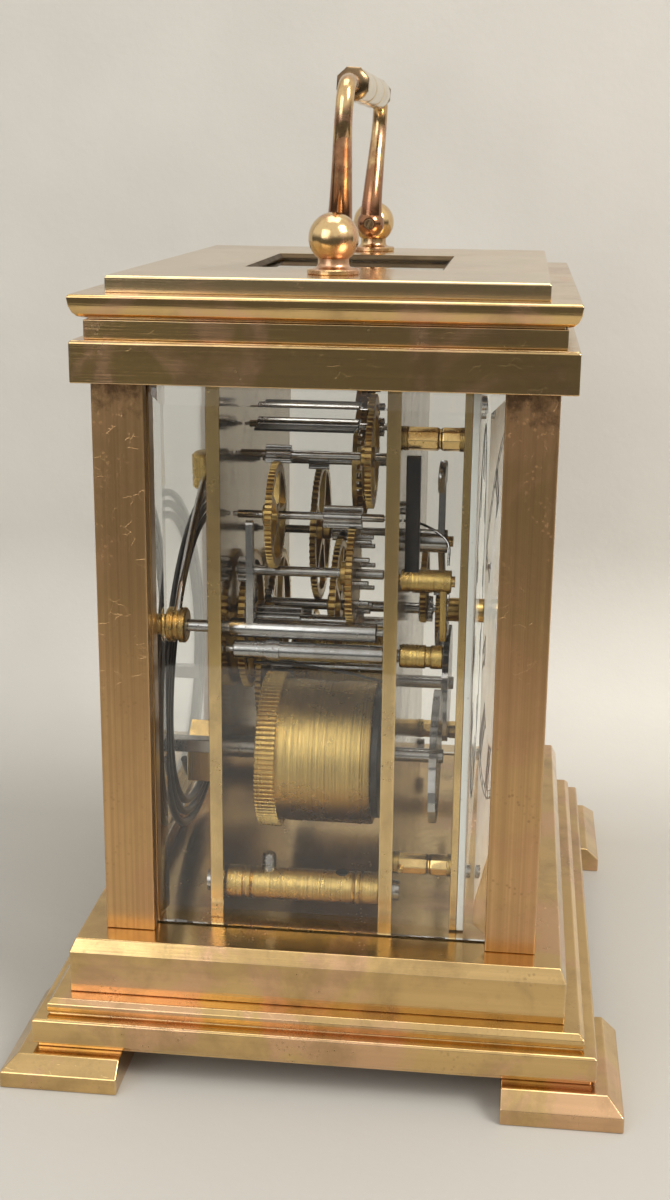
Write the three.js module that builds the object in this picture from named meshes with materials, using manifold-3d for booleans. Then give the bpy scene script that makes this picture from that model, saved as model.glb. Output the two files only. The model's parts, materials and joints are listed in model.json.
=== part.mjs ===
// A brass carriage clock with a striking movement, in millimetres.
// +X is right and -Y is towards the reader when facing the dial; +Z is up; z = 0 is under the feet.
import * as THREE from 'three';
import { mergeVertices } from 'three/addons/utils/BufferGeometryUtils.js';
import Module from 'manifold-3d';

const wasm = await Module();
wasm.setup();
const { Manifold, Mesh } = wasm;

// ---------------------------------------------------------------- sizes

const bodyHalfX = 56;                 // outside of the corner pillars
const bodyHalfY = 42.5;
const seatGap = 0.3;                  // running or seating clearance between turned and cut pieces

const footHeight = 6.05;
const footEdge = 3.25;                // upright part of a foot's outer faces
const footBevel = 3;
const footOverhang = 17.6;            // past the pillars
const footLengthX = 32;
const footLengthY = 23.2;

const plinthHeight = 6.2;
const plinthOverhang = 12.4;
const plinthRebate = 0.9;             // shallow strip along the lower edge
const plinthRebateHeight = 1.1;
const plinthEdge = 0.4;
const stepHeight = 3.15;
const stepOverhang = 10;
const stepLowerEdge = 0.6;
const stepUpperEdge = 1;
const blockHeight = 11.2;
const blockOverhang = 6.15;
const blockBevelHeight = 2.65;
const blockBevelWidth = 1.15;
const blockWall = 14;
const blockDeck = 4;

const pillarHeight = 109.2;
const pillarX = 12;
const pillarY = 9.75;

const rimHeight = 7.7;
const rimOverhang = 3.05;
const neckHeight = 3.9;
const neckOverhang = 0.8;
const corniceHeight = 4.2;
const corniceOverhang = 3.1;
const corniceLip = 0.7;
const corniceJoint = 0.35;            // height of the shadow line under the cornice
const corniceJointDepth = 0.7;
const topPlateHeight = 3.1;
const topPlateInset = 2.5;
const windowHalfX = 23;
const windowHalfY = 18.8;
const windowLip = 1.6;                // the top glass is this much larger all round

const glassThickness = 2;
const glassBevel = 4;
const glassEdge = 1.3;
const glassGroove = 1.8;              // depth of the slots in the pillars
const glassInset = 3;                 // from a pillar's outer face to the pane

const doorThickness = 3;
const doorFrameWidth = 6;
const doorFront = 37.5;
const doorPlay = 0.8;                 // to each pillar, so that the hinged edge clears as it turns
const doorHingeInset = 1.3;
const hingePinRadius = 1;
const hingePinReach = 1.4;

const postX = 40.05;
const postBallRadius = 4.68;
const postBallHeight = 6.5;           // ball centre above the top plate
const postFlangeRadius = 4.9;
const eyeRadius = 3.1;
const pivotRadius = 1.1;
const armRadius = 1.65;
const armSwell = 0.9;                 // extra radius at the eye, fading over this share of the arm
const armSwellShare = 0.55;
const handleRise = 27.8;              // pivot line to the middle of the grip
const handleLean = 3.3;               // degrees that the handle stands off the upright, to the front
const gripHalfLength = 26;
const gripRadius = 3.15;

const plateHalfX = 46.5;
const plateThickness = 2.65;
const frontPlateInner = -11.1;
const backPlateInner = 20.4;
const platePillarX = 41.5;
const upperPillarX = 12;
const lowerPillarHeight = 5.3;        // axis above the base
const lowerPillarRadius = 3.4;
const upperPillarDrop = 4.6;          // axis below the top of the plates
const upperPillarRadius = 2.5;

const dialPlateBack = -25.4;
const dialPlateThickness = 1.5;
const dialThickness = 1.4;
const dialFootRadius = 2.3;
const dialFootX = 40;
const dialFootLow = 10.8;
const dialFootHigh = 11;

const gongRadius = 38;
const gongWire = 0.85;
const gongPitch = 2.5;
const gongTurns = 3;
const gongY = 34;
const gongCentreZ = 67;
const gongLean = 2.2;                 // degrees, top towards the plates

const platformHalfX = 13;
const platformThickness = 2;
const escapeWheelRadius = 5;
const balanceRadius = 8.4;

// Heights of the stack
const zPlinth = footHeight;
const zStep = zPlinth + plinthHeight;
const zBlock = zStep + stepHeight;
const zBase = zBlock + blockHeight;
const zRim = zBase + pillarHeight;
const zNeck = zRim + rimHeight;
const zCornice = zNeck + neckHeight;
const zTopPlate = zCornice + corniceHeight;
const zTop = zTopPlate + topPlateHeight;
const zPivot = zTop + postBallHeight;
const zPlateTop = zRim - seatGap;
const innerHalfX = bodyHalfX - pillarX;
const innerHalfY = bodyHalfY - pillarY;
const frontPlateOuter = frontPlateInner - plateThickness;
const backPlateOuter = backPlateInner + plateThickness;
const dialFront = dialPlateBack - dialPlateThickness - dialThickness;

// Arbors: [x, z] between the plates
const at = {
  strikeBarrel: [-24.5, 54.9],
  strikeFirst: [-13.05, 69.7],
  strikeSecond: [-22, 82.6],
  pinWheel: [-32, 95.6],
  strikeFourth: [-34, 107.5],
  warning: [-30.5, 119],
  fly: [-19.8, 123.2],
  hammer: [-41.5, 86.3],
  lifting: [-42.5, 82.2],
  hook: [-41.5, 97.2],
  rack: [-24, 101],
  goingBarrel: [24.5, 54.9],
  goingFirst: [16.6, 71.8],
  centre: [0, 80],
  goingThird: [7, 95.3],
  contrate: [3, 111.8],
  minute: [-7.4, 87.4],
};

// Wheel and pinion pairs: [driving arbor, teeth, driven arbor, leaves]
const gearing = {
  strikeGreat: [at.strikeBarrel, 48, at.strikeFirst, 8],
  strikeFirst: [at.strikeFirst, 40, at.strikeSecond, 8],
  strikeSecond: [at.strikeSecond, 42, at.pinWheel, 7],
  pinWheel: [at.pinWheel, 35, at.strikeFourth, 7],
  strikeFourth: [at.strikeFourth, 36, at.warning, 6],
  warning: [at.warning, 36, at.fly, 6],
  goingGreat: [at.goingBarrel, 48, at.goingFirst, 8],
  goingFirst: [at.goingFirst, 42, at.centre, 7],
  centre: [at.centre, 45, at.goingThird, 6],
  goingThird: [at.goingThird, 48, at.contrate, 6],
  cannon: [at.minute, 27, at.centre, 9],
  hour: [at.centre, 32, at.minute, 8],
};
const contrateTeeth = 40;
const escapeLeaves = 5;
const contrateRadius = 12;
const crownWidth = 1.4;
const crownDepth = 1.2;

// ---------------------------------------------------------------- finishes

const finish = (color, roughness, metalness, opacity = 1) => new THREE.MeshStandardMaterial({
  color, roughness, metalness, opacity, transparent: opacity < 1,
});
const polishedBrass = finish(0xc9a063, 0.22, 1);
const brushedBrass = finish(0xa67c4a, 0.42, 1);
const plateBrass = finish(0xbf9650, 0.3, 1);
const wheelBrass = finish(0xa8813c, 0.35, 1);
const steel = finish(0x8d8f92, 0.25, 1);
const blackSteel = finish(0x24272b, 0.4, 0.8);
const bluedSteel = finish(0x1b2340, 0.3, 0.9);
const enamel = finish(0xf2f1ea, 0.2, 0);
const clearGlass = finish(0xf4f7f6, 0.05, 0, 0.25);

// ---------------------------------------------------------------- shape helpers

const clock = new THREE.Group();
const rad = THREE.MathUtils.degToRad;
const distance = ([ax, az], [bx, bz]) => Math.hypot(bx - ax, bz - az);
const bearing = ([ax, az], [bx, bz]) => Math.atan2(bz - az, bx - ax);

function toSolid(geometry) {
  const bare = new THREE.BufferGeometry();
  bare.setAttribute('position', geometry.getAttribute('position'));
  if (geometry.index) bare.setIndex(geometry.index);
  const merged = mergeVertices(bare, 1e-4);
  const corners = Uint32Array.from(merged.index.array);
  const build = () => new Manifold(new Mesh({
    numProp: 3,
    vertProperties: Float32Array.from(merged.attributes.position.array),
    triVerts: corners,
  }));
  const solid = build();
  if (solid.volume() > 0) return solid;
  for (let i = 0; i < corners.length; i += 3) [corners[i], corners[i + 1]] = [corners[i + 1], corners[i]];
  return build();
}

function toGeometry(solid) {
  const mesh = solid.getMesh();
  const indexed = new THREE.BufferGeometry();
  indexed.setAttribute('position', new THREE.BufferAttribute(mesh.vertProperties, mesh.numProp));
  indexed.setIndex(new THREE.BufferAttribute(mesh.triVerts, 1));
  const geometry = indexed.toNonIndexed();
  geometry.computeVertexNormals();
  return geometry;
}

const join = (...solids) => solids.reduce((a, b) => a.add(b));
const cut = (body, ...tools) => tools.reduce((a, b) => a.subtract(b), body);

function box(x0, x1, y0, y1, z0, z1) {
  const geometry = new THREE.BoxGeometry(x1 - x0, y1 - y0, z1 - z0);
  return toSolid(geometry.translate((x0 + x1) / 2, (y0 + y1) / 2, (z0 + z1) / 2));
}

// A solid of rectangular sections, bottom to top: each level is [x0, x1, y0, y1, z].
function stack(levels) {
  const corners = [];
  for (const [x0, x1, y0, y1, z] of levels) corners.push(x0, y0, z, x1, y0, z, x1, y1, z, x0, y1, z);
  const faces = [0, 2, 1, 0, 3, 2];
  for (let i = 0; i < levels.length - 1; i += 1) {
    for (let side = 0; side < 4; side += 1) {
      const a = 4 * i + side;
      const b = 4 * i + (side + 1) % 4;
      faces.push(a, b, b + 4, a, b + 4, a + 4);
    }
  }
  const last = 4 * (levels.length - 1);
  faces.push(last, last + 1, last + 2, last, last + 2, last + 3);
  const geometry = new THREE.BufferGeometry();
  geometry.setAttribute('position', new THREE.BufferAttribute(new Float32Array(corners), 3));
  geometry.setIndex(faces);
  return toSolid(geometry);
}

// A moulded layer round the body: each level is [overhang past the pillars, z].
const moulding = (levels) => stack(levels.map(([over, z]) => [
  -bodyHalfX - over, bodyHalfX + over, -bodyHalfY - over, bodyHalfY + over, z]));

// Turned pieces: a profile of [radius, distance along the axis], closed on the axis.
function turned(profile, sides = 24) {
  const points = profile.map(([r, t]) => new THREE.Vector2(r, t));
  return new THREE.LatheGeometry(points, sides);
}
const closed = (profile) => [[0, profile[0][1]], ...profile, [0, profile[profile.length - 1][1]]];
const turnedY = ([x, z], profile, sides) => toSolid(turned(closed(profile), sides).translate(x, 0, z));
const turnedZ = (x, y, profile, sides) => toSolid(
  turned(closed(profile), sides).rotateX(Math.PI / 2).translate(x, y, 0));
const rodY = (centre, radius, y0, y1, sides = 10) => turnedY(centre, [[radius, y0], [radius, y1]], sides);
const rodZ = (x, y, radius, z0, z1, sides = 12) => turnedZ(x, y, [[radius, z0], [radius, z1]], sides);

// A flat piece cut from sheet that lies across the movement: drawn in X and Z, thick along Y.
function sheetY(shape, y0, y1) {
  const depth = y1 - y0;
  const geometry = new THREE.ExtrudeGeometry(shape, { depth, bevelEnabled: false, curveSegments: 6 });
  return toSolid(geometry.translate(0, 0, -y1).rotateX(Math.PI / 2));
}

const polygon = (points) => new THREE.Shape(points.map(([x, z]) => new THREE.Vector2(x, z)));
const polar = ([x, z], radius, angle) => [x + radius * Math.cos(angle), z + radius * Math.sin(angle)];

const sixths = [0, 1, 2, 3, 4, 5].map((k) => k * Math.PI / 3);
const sixSided = (radius) => polygon(sixths.map((angle) => polar([0, 0], radius, angle)));

// A straight flat lever from one point to another, with its own width at each end.
function lever(from, to, widthFrom, widthTo, y0, y1) {
  const side = bearing(from, to) + Math.PI / 2;
  const corners = [polar(from, widthFrom / 2, side), polar(from, -widthFrom / 2, side),
    polar(to, -widthTo / 2, side), polar(to, widthTo / 2, side)];
  return sheetY(polygon(corners), y0, y1);
}

// ---------------------------------------------------------------- gears

// Pitch radii and the pinion's phase, from the two centres and the two counts.
function mesh([wheelAt, teeth, pinionAt, leaves]) {
  const span = distance(wheelAt, pinionAt);
  const wheelRadius = span * teeth / (teeth + leaves);
  const line = bearing(wheelAt, pinionAt);
  const toothPitch = 2 * Math.PI / teeth;
  const lead = ((line % toothPitch) + toothPitch) % toothPitch;
  const pinionPhase = line + Math.PI + lead * teeth / leaves + Math.PI / leaves;
  return { wheelAt, teeth, wheelRadius, pinionAt, leaves, pinionRadius: span - wheelRadius, pinionPhase };
}

// Straight-sided teeth. A root half-width of half a pitch makes each gap narrow to a point.
function toothed(centre, count, root, tip, rootHalf, tipHalf, phase) {
  const pitch = 2 * Math.PI / count;
  const points = [];
  for (let i = 0; i < count; i += 1) {
    const middle = phase + i * pitch;
    points.push(polar(centre, root, middle - rootHalf * pitch), polar(centre, tip, middle - tipHalf * pitch));
    points.push(polar(centre, tip, middle + tipHalf * pitch));
    if (rootHalf < 0.5) points.push(polar(centre, root, middle + rootHalf * pitch));
  }
  return polygon(points);
}

// Openings between the spokes of a wheel.
function crossOut(shape, centre, spokes, inner, outer, spokeWidth) {
  for (let i = 0; i < spokes; i += 1) {
    const start = 2 * Math.PI * i / spokes;
    const end = 2 * Math.PI * (i + 1) / spokes;
    const innerTrim = Math.asin(spokeWidth / 2 / inner);
    const outerTrim = Math.asin(spokeWidth / 2 / outer);
    const points = [polar(centre, inner, start + innerTrim)];
    const steps = 3;
    for (let k = 0; k <= steps; k += 1) {
      const angle = start + outerTrim + (end - start - 2 * outerTrim) * k / steps;
      points.push(polar(centre, outer, angle));
    }
    points.push(polar(centre, inner, end - innerTrim));
    shape.holes.push(new THREE.Path(points.map(([x, z]) => new THREE.Vector2(x, z))));
  }
  return shape;
}

function wheel(pair, y0, y1, spokes = 0) {
  const unit = 2 * pair.wheelRadius / pair.teeth;
  const root = pair.wheelRadius - 1.15 * unit;
  const shape = toothed(pair.wheelAt, pair.teeth, root, pair.wheelRadius + 0.7 * unit, 0.5, 0.09, 0);
  if (spokes) crossOut(shape, pair.wheelAt, spokes, pair.wheelRadius * 0.24, root - 1.3, 1.3);
  return sheetY(shape, y0, y1);
}

function pinion(pair, y0, y1) {
  const unit = 2 * pair.pinionRadius / pair.leaves;
  const shape = toothed(pair.pinionAt, pair.leaves, pair.pinionRadius - 1.15 * unit,
    pair.pinionRadius + 0.45 * unit, 0.17, 0.1, pair.pinionPhase);
  return sheetY(shape, y0, y1);
}

// An arbor between the plates, thin at its pivots.
const arbor = (centre, radius, y0 = frontPlateInner + seatGap, y1 = backPlateInner - seatGap) => turnedY(
  centre, [[radius * 0.6, y0], [radius * 0.6, y0 + 1], [radius, y0 + 1], [radius, y1 - 1],
    [radius * 0.6, y1 - 1], [radius * 0.6, y1]], 8);

// ---------------------------------------------------------------- placing

function place(name, solid, material, parent = clock) {
  const piece = new THREE.Mesh(toGeometry(solid), material);
  piece.name = name;
  parent.add(piece);
}

const corners = { front_left: [-1, -1], front_right: [1, -1], back_left: [-1, 1], back_right: [1, 1] };
const sides = { left: -1, right: 1 };
const span = (sign, near, far) => (sign > 0 ? [near, far] : [-far, -near]);

// ---------------------------------------------------------------- case

const doorHalfX = innerHalfX - doorPlay;
const doorHinge = [doorHalfX - doorHingeInset, doorFront + doorThickness / 2];

function addFeet() {
  for (const [name, [sx, sy]] of Object.entries(corners)) {
    const [x0, x1] = span(sx, bodyHalfX + footOverhang - footLengthX, bodyHalfX + footOverhang);
    const [y0, y1] = span(sy, bodyHalfY + footOverhang - footLengthY, bodyHalfY + footOverhang);
    const trim = (sign, low) => ((sign < 0) === low ? footBevel : 0);
    const upper = [x0 + trim(sx, true), x1 - trim(sx, false), y0 + trim(sy, true), y1 - trim(sy, false)];
    const levels = [[x0, x1, y0, y1, 0], [x0, x1, y0, y1, footEdge], [...upper, footHeight]];
    place(`foot_${name}`, stack(levels), polishedBrass);
  }
}

function addBase() {
  const rebateTop = zPlinth + plinthRebateHeight;
  place('base_plinth', moulding([
    [plinthOverhang - plinthRebate, zPlinth], [plinthOverhang - plinthRebate, rebateTop],
    [plinthOverhang, rebateTop], [plinthOverhang, zStep - plinthEdge], [plinthOverhang - plinthEdge, zStep],
    [stepOverhang - stepLowerEdge, zStep], [stepOverhang, zStep + stepLowerEdge],
    [stepOverhang, zBlock - stepUpperEdge], [stepOverhang - stepUpperEdge, zBlock],
  ]), polishedBrass);
  const block = moulding([
    [blockOverhang, zBlock], [blockOverhang, zBase - blockBevelHeight],
    [blockOverhang - blockBevelWidth, zBase],
  ]);
  const hollowX = bodyHalfX + blockOverhang - blockWall;
  const hollowY = bodyHalfY + blockOverhang - blockWall;
  const hollow = box(-hollowX, hollowX, -hollowY, hollowY, zBlock - 1, zBase - blockDeck);
  const pinHole = rodZ(...doorHinge, hingePinRadius + seatGap, zBase - hingePinReach - seatGap, zBase + 1);
  place('base_block', cut(block, hollow, pinHole), polishedBrass);
}

// Panes: the groove width is the pane plus its clearance on both sides.
const paneX = [bodyHalfX - glassInset - glassThickness, bodyHalfX - glassInset];
const paneY = [bodyHalfY - glassInset - glassThickness, bodyHalfY - glassInset];

function addPillars() {
  for (const [name, [sx, sy]] of Object.entries(corners)) {
    const [x0, x1] = span(sx, innerHalfX, bodyHalfX);
    const [y0, y1] = span(sy, innerHalfY, bodyHalfY);
    const [gx0, gx1] = span(sx, paneX[0] - seatGap, paneX[1] + seatGap);
    const [gy0, gy1] = span(sy, innerHalfY - 1, innerHalfY + glassGroove);
    let pillar = cut(box(x0, x1, y0, y1, zBase, zRim), box(gx0, gx1, gy0, gy1, zBase - 1, zRim + 1));
    if (sy < 0) {
      const [fx0, fx1] = span(sx, innerHalfX - 1, innerHalfX + glassGroove);
      const [fy0, fy1] = span(sy, paneY[0] - seatGap, paneY[1] + seatGap);
      pillar = cut(pillar, box(fx0, fx1, fy0, fy1, zBase - 1, zRim + 1));
    }
    place(`pillar_${name}`, pillar, brushedBrass);
  }
}

// A pane with its outer face bevelled, lying in a plane; turned and moved by its caller.
function pane(halfWidth, halfHeight) {
  const flatWidth = halfWidth - glassBevel;
  const flatHeight = halfHeight - glassBevel;
  return toGeometry(stack([
    [-halfWidth, halfWidth, -halfHeight, halfHeight, 0],
    [-halfWidth, halfWidth, -halfHeight, halfHeight, glassEdge],
    [-flatWidth, flatWidth, -flatHeight, flatHeight, glassThickness],
  ]));
}

function addGlass() {
  const reach = glassGroove - seatGap;
  const halfHeight = pillarHeight / 2 - seatGap;
  const zMiddle = (zBase + zRim) / 2;
  for (const [name, sx] of Object.entries(sides)) {
    const geometry = pane(innerHalfY + reach, halfHeight).rotateX(Math.PI / 2).rotateZ(sx * Math.PI / 2);
    place(`side_glass_${name}`, toSolid(geometry.translate(sx * paneX[0], 0, zMiddle)), clearGlass);
  }
  const front = pane(innerHalfX + reach, halfHeight).rotateX(Math.PI / 2).translate(0, -paneY[0], zMiddle);
  place('front_glass', toSolid(front), clearGlass);
}

function addDoor() {
  const inner = doorHalfX - doorFrameWidth;
  const z0 = zBase + seatGap;
  const z1 = zRim - seatGap;
  const back = doorFront + doorThickness;
  const rebate = 1.5;
  const frame = cut(
    box(-doorHalfX, doorHalfX, doorFront, back, z0, z1),
    box(-inner, inner, doorFront - 1, back + 1, z0 + doorFrameWidth, z1 - doorFrameWidth),
    box(-inner - rebate, inner + rebate, doorFront - 1, doorFront + glassThickness,
      z0 + doorFrameWidth - rebate, z1 - doorFrameWidth + rebate));
  const knobAt = [-doorHalfX + doorFrameWidth / 2, (z0 + z1) / 2];
  const knob = turnedY(knobAt, [
    [1, back - 0.5], [1, back + 1.2], [2, back + 1.8], [2.1, back + 3], [1.4, back + 3.8],
  ], 16);
  const pins = rodZ(...doorHinge, hingePinRadius, zBase - hingePinReach, zRim + hingePinReach);
  const pinSpace = box(-doorHalfX, doorHalfX, doorFront, back, z0 + 1, z1 - 1);
  place('door_frame', join(frame, knob, cut(pins, pinSpace)), polishedBrass);
  const halfWidth = inner + rebate - seatGap;
  const halfHeight = (z1 - z0) / 2 - doorFrameWidth + rebate - seatGap;
  const geometry = toGeometry(box(-halfWidth, halfWidth, doorFront, doorFront + glassThickness - seatGap,
    (z0 + z1) / 2 - halfHeight, (z0 + z1) / 2 + halfHeight));
  place('door_glass', toSolid(geometry), clearGlass);
}

function addTop() {
  const well = box(-innerHalfX, innerHalfX, -innerHalfY, innerHalfY, zRim - 1, zTopPlate + 1);
  const edge = 0.35;
  const rim = moulding([[rimOverhang, zRim], [rimOverhang, zNeck - edge], [rimOverhang - edge, zNeck]]);
  const pinHole = rodZ(...doorHinge, hingePinRadius + seatGap, zRim - 1, zRim + hingePinReach + seatGap);
  place('top_rim', cut(rim, well, pinHole), polishedBrass);
  const reach = corniceOverhang - neckOverhang;
  const curve = corniceHeight - corniceLip;
  const jointOver = neckOverhang - corniceJointDepth;
  const levels = [
    [neckOverhang, zNeck], [neckOverhang, zCornice - corniceJoint], [jointOver, zCornice - corniceJoint],
    [jointOver, zCornice],
  ];
  for (const share of [0, 0.25, 0.5, 0.75, 1]) {
    levels.push([neckOverhang + reach * Math.sin(share * Math.PI / 2),
      zCornice + curve * (1 - Math.cos(share * Math.PI / 2))]);
  }
  levels.push([corniceOverhang, zTopPlate - edge], [corniceOverhang - edge, zTopPlate]);
  place('top_cornice', cut(moulding(levels), well), polishedBrass);
  const rebate = box(-windowHalfX - windowLip, windowHalfX + windowLip, -windowHalfY - windowLip,
    windowHalfY + windowLip, zTopPlate - 1, zTopPlate + glassThickness);
  const chamfer = 0.8;
  const opening = stack([
    [-windowHalfX, windowHalfX, -windowHalfY, windowHalfY, zTopPlate - 1],
    [-windowHalfX, windowHalfX, -windowHalfY, windowHalfY, zTop - chamfer],
    [-windowHalfX - chamfer - 0.5, windowHalfX + chamfer + 0.5, -windowHalfY - chamfer - 0.5,
      windowHalfY + chamfer + 0.5, zTop + 0.5],
  ]);
  place('top_plate', cut(moulding([[-topPlateInset, zTopPlate], [-topPlateInset, zTop - edge],
    [-topPlateInset - edge, zTop]]), rebate, opening), polishedBrass);
  const halfX = windowHalfX + windowLip - seatGap;
  const halfY = windowHalfY + windowLip - seatGap;
  const paneTop = zTopPlate + glassThickness - seatGap;
  place('top_glass', box(-halfX, halfX, -halfY, halfY, zTopPlate, paneTop), clearGlass);
}

// ---------------------------------------------------------------- handle

const eyeX = postX - postBallRadius - seatGap - eyeRadius;

function ballProfile(radius, centre, from, to, steps) {
  const points = [];
  for (let i = 0; i <= steps; i += 1) {
    const angle = from + (to - from) * i / steps;
    points.push([radius * Math.cos(angle), centre + radius * Math.sin(angle)]);
  }
  return points;
}

function addHandlePosts() {
  const neck = 2.9;
  const profile = [
    [postFlangeRadius, zTop], [postFlangeRadius, zTop + 1], [3.4, zTop + 1.2], [neck, zTop + 1.6],
    ...ballProfile(postBallRadius, zPivot, -Math.acos(neck / postBallRadius), rad(80), 6),
  ];
  for (const [name, sx] of Object.entries(sides)) {
    const [x0, x1] = span(sx, eyeX - eyeRadius - 0.4, postX);
    const pin = toSolid(turned(closed([[pivotRadius, x0], [pivotRadius, x1]]), 12)
      .rotateZ(-Math.PI / 2).translate(0, 0, zPivot));
    place(`handle_post_${name}`, join(turnedZ(sx * postX, 0, profile, 16), pin), polishedBrass);
  }
}

// A round bar whose radius changes along a smooth path.
function taperedBar(path, radiusAt, steps, around) {
  const positions = [];
  const faces = [];
  for (let i = 0; i <= steps; i += 1) {
    const along = i / steps;
    const centre = path.getPointAt(along);
    const tangent = path.getTangentAt(along);
    const across = new THREE.Vector3(0, 1, 0);
    const other = new THREE.Vector3().crossVectors(tangent, across);
    for (let k = 0; k < around; k += 1) {
      const angle = 2 * Math.PI * k / around;
      const point = centre.clone().addScaledVector(across, radiusAt(along) * Math.cos(angle))
        .addScaledVector(other, radiusAt(along) * Math.sin(angle));
      positions.push(point.x, point.y, point.z);
      if (i < steps) {
        const a = i * around + k;
        const b = i * around + (k + 1) % around;
        faces.push(a, b, b + around, a, b + around, a + around);
      }
    }
  }
  for (let k = 1; k < around - 1; k += 1) {
    faces.push(0, k + 1, k, steps * around, steps * around + k, steps * around + k + 1);
  }
  const geometry = new THREE.BufferGeometry();
  geometry.setAttribute('position', new THREE.BufferAttribute(new Float32Array(positions), 3));
  geometry.setIndex(faces);
  return toSolid(geometry);
}

function addHandle() {
  const handle = new THREE.Group();
  handle.position.z = zPivot;
  handle.rotation.x = rad(handleLean);
  clock.add(handle);
  for (const [name, sx] of Object.entries(sides)) {
    const path = new THREE.CatmullRomCurve3([
      [eyeX, eyeRadius * 0.5], [eyeX + 0.2, handleRise * 0.22], [eyeX + 2.6, handleRise * 0.48],
      [eyeX + 4.8, handleRise * 0.72], [eyeX + 4.3, handleRise * 0.93], [eyeX + 0.4, handleRise],
      [gripHalfLength, handleRise],
    ].map(([x, z]) => new THREE.Vector3(sx * x, 0, z)));
    const flare = (along) => armRadius + armSwell * Math.max(0, 1 - along / armSwellShare) ** 1.3;
    const bar = taperedBar(path, flare, 14, 10);
    const eye = toSolid(new THREE.SphereGeometry(eyeRadius, 12, 8).translate(sx * eyeX, 0, 0));
    const bore = [[pivotRadius + seatGap, sx * eyeX - 9], [pivotRadius + seatGap, sx * eyeX + 9]];
    const hole = toSolid(turned(closed(bore), 12).rotateZ(-Math.PI / 2));
    const end = box(-gripHalfLength, gripHalfLength, -9, 9, 0, handleRise + 9);
    place(`handle_arm_${name}`, cut(join(bar, eye), hole, end), polishedBrass, handle);
  }
  const ring = 8.6;
  const groove = 0.5;
  const half = [
    [armRadius + 0.5, gripHalfLength], [gripRadius + 0.25, gripHalfLength - 0.9],
    [gripRadius + 0.25, gripHalfLength - 2.1], [gripRadius - 0.5, gripHalfLength - 2.5],
    [gripRadius, gripHalfLength - 2.9], [gripRadius, ring + groove], [gripRadius - 0.35, ring + groove / 2],
    [gripRadius - 0.35, ring - groove / 2], [gripRadius, ring - groove],
  ];
  const profile = [...half.map(([r, x]) => [r, -x]), ...half.slice().reverse()];
  const grip = turned(closed(profile), 12).rotateZ(-Math.PI / 2).translate(0, 0, handleRise);
  place('handle_grip', toSolid(grip), polishedBrass, handle);
}

// ---------------------------------------------------------------- movement frame

const squareHole = 2.6;
const windingRadius = 2.3;
const windingFrontRadius = 1.5;
const shaftRadius = 1.2;
const handArborRadius = 0.8;
const studRadius = 1.1;
const minuteStudRadius = 0.7;
const hookStudLength = 10.6;
const rackStudLength = 9.4;
const minuteStudLength = 8;

function addPlates() {
  const shaftHole = shaftRadius + seatGap;
  const barrels = [at.strikeBarrel, at.goingBarrel];
  const holesBack = barrels.map((p) => rodY(p, squareHole, 0, 40, 16));
  holesBack.push(rodY(at.hammer, shaftHole, 0, 40), rodY(at.centre, shaftHole, 0, 40));
  const back = box(-plateHalfX, plateHalfX, backPlateInner, backPlateOuter, zBase, zPlateTop);
  place('back_plate', cut(back, ...holesBack), plateBrass);
  const holesFront = barrels.map((p) => rodY(p, windingFrontRadius + seatGap, -30, 0));
  holesFront.push(rodY(at.lifting, shaftHole, -30, 0), rodY(at.centre, shaftHole, -30, 0));
  const front = box(-plateHalfX, plateHalfX, frontPlateOuter, frontPlateInner, zBase, zPlateTop);
  const studs = [
    [at.hook, studRadius, hookStudLength], [at.rack, studRadius, rackStudLength],
    [at.minute, minuteStudRadius, minuteStudLength],
  ].map(([p, radius, length]) => rodY(p, radius, frontPlateOuter - length, frontPlateOuter + 0.5));
  place('front_plate', join(cut(front, ...holesFront), ...studs), plateBrass);
  for (const [level, x, z, radius] of [['lower', platePillarX, zBase + lowerPillarHeight, lowerPillarRadius],
    ['upper', upperPillarX, zPlateTop - upperPillarDrop, upperPillarRadius]]) {
    const length = backPlateInner - frontPlateInner;
    const ringAt = 4.2;
    const ring = 0.35;
    const half = [[radius, 0], [radius, ringAt - ring], [radius - 0.5, ringAt], [radius, ringAt + ring]];
    const profile = [...half.map(([r, t]) => [r, frontPlateInner + t]),
      ...half.slice().reverse().map(([r, t]) => [r, frontPlateInner + length - t])];
    for (const [name, sx] of Object.entries(sides)) {
      place(`plate_pillar_${level}_${name}`, turnedY([sx * x, z], profile, 12), plateBrass);
    }
  }
}

function addDial() {
  const z0 = zBase + seatGap;
  const z1 = zPlateTop;
  const plateFront = dialPlateBack - dialPlateThickness;
  const centreHole = (radius) => rodY(at.centre, radius, dialFront - 1, dialPlateBack + 1, 20);
  const hourPipeHole = 3.4;
  const backing = box(-plateHalfX, plateHalfX, plateFront, dialPlateBack, z0, z1);
  const plate = cut(backing, centreHole(hourPipeHole));
  const length = frontPlateOuter - dialPlateBack;
  const waist = dialPlateBack + 0.4 * length;
  const r = dialFootRadius;
  const feet = [];
  for (const sx of [-1, 1]) {
    for (const z of [zBase + dialFootLow, zPlateTop - dialFootHigh]) {
      feet.push(turnedY([sx * dialFootX, z], [
        [r, dialPlateBack - 0.5], [r, waist - 0.5], [r - 0.4, waist], [r, waist + 0.5], [r, frontPlateOuter],
      ], 8));
    }
  }
  place('dial_plate', join(plate, ...feet), plateBrass);
  const face = box(-plateHalfX, plateHalfX, dialFront, plateFront, z0, z1);
  place('dial', cut(face, centreHole(hourPipeHole)), enamel);
}

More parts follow.
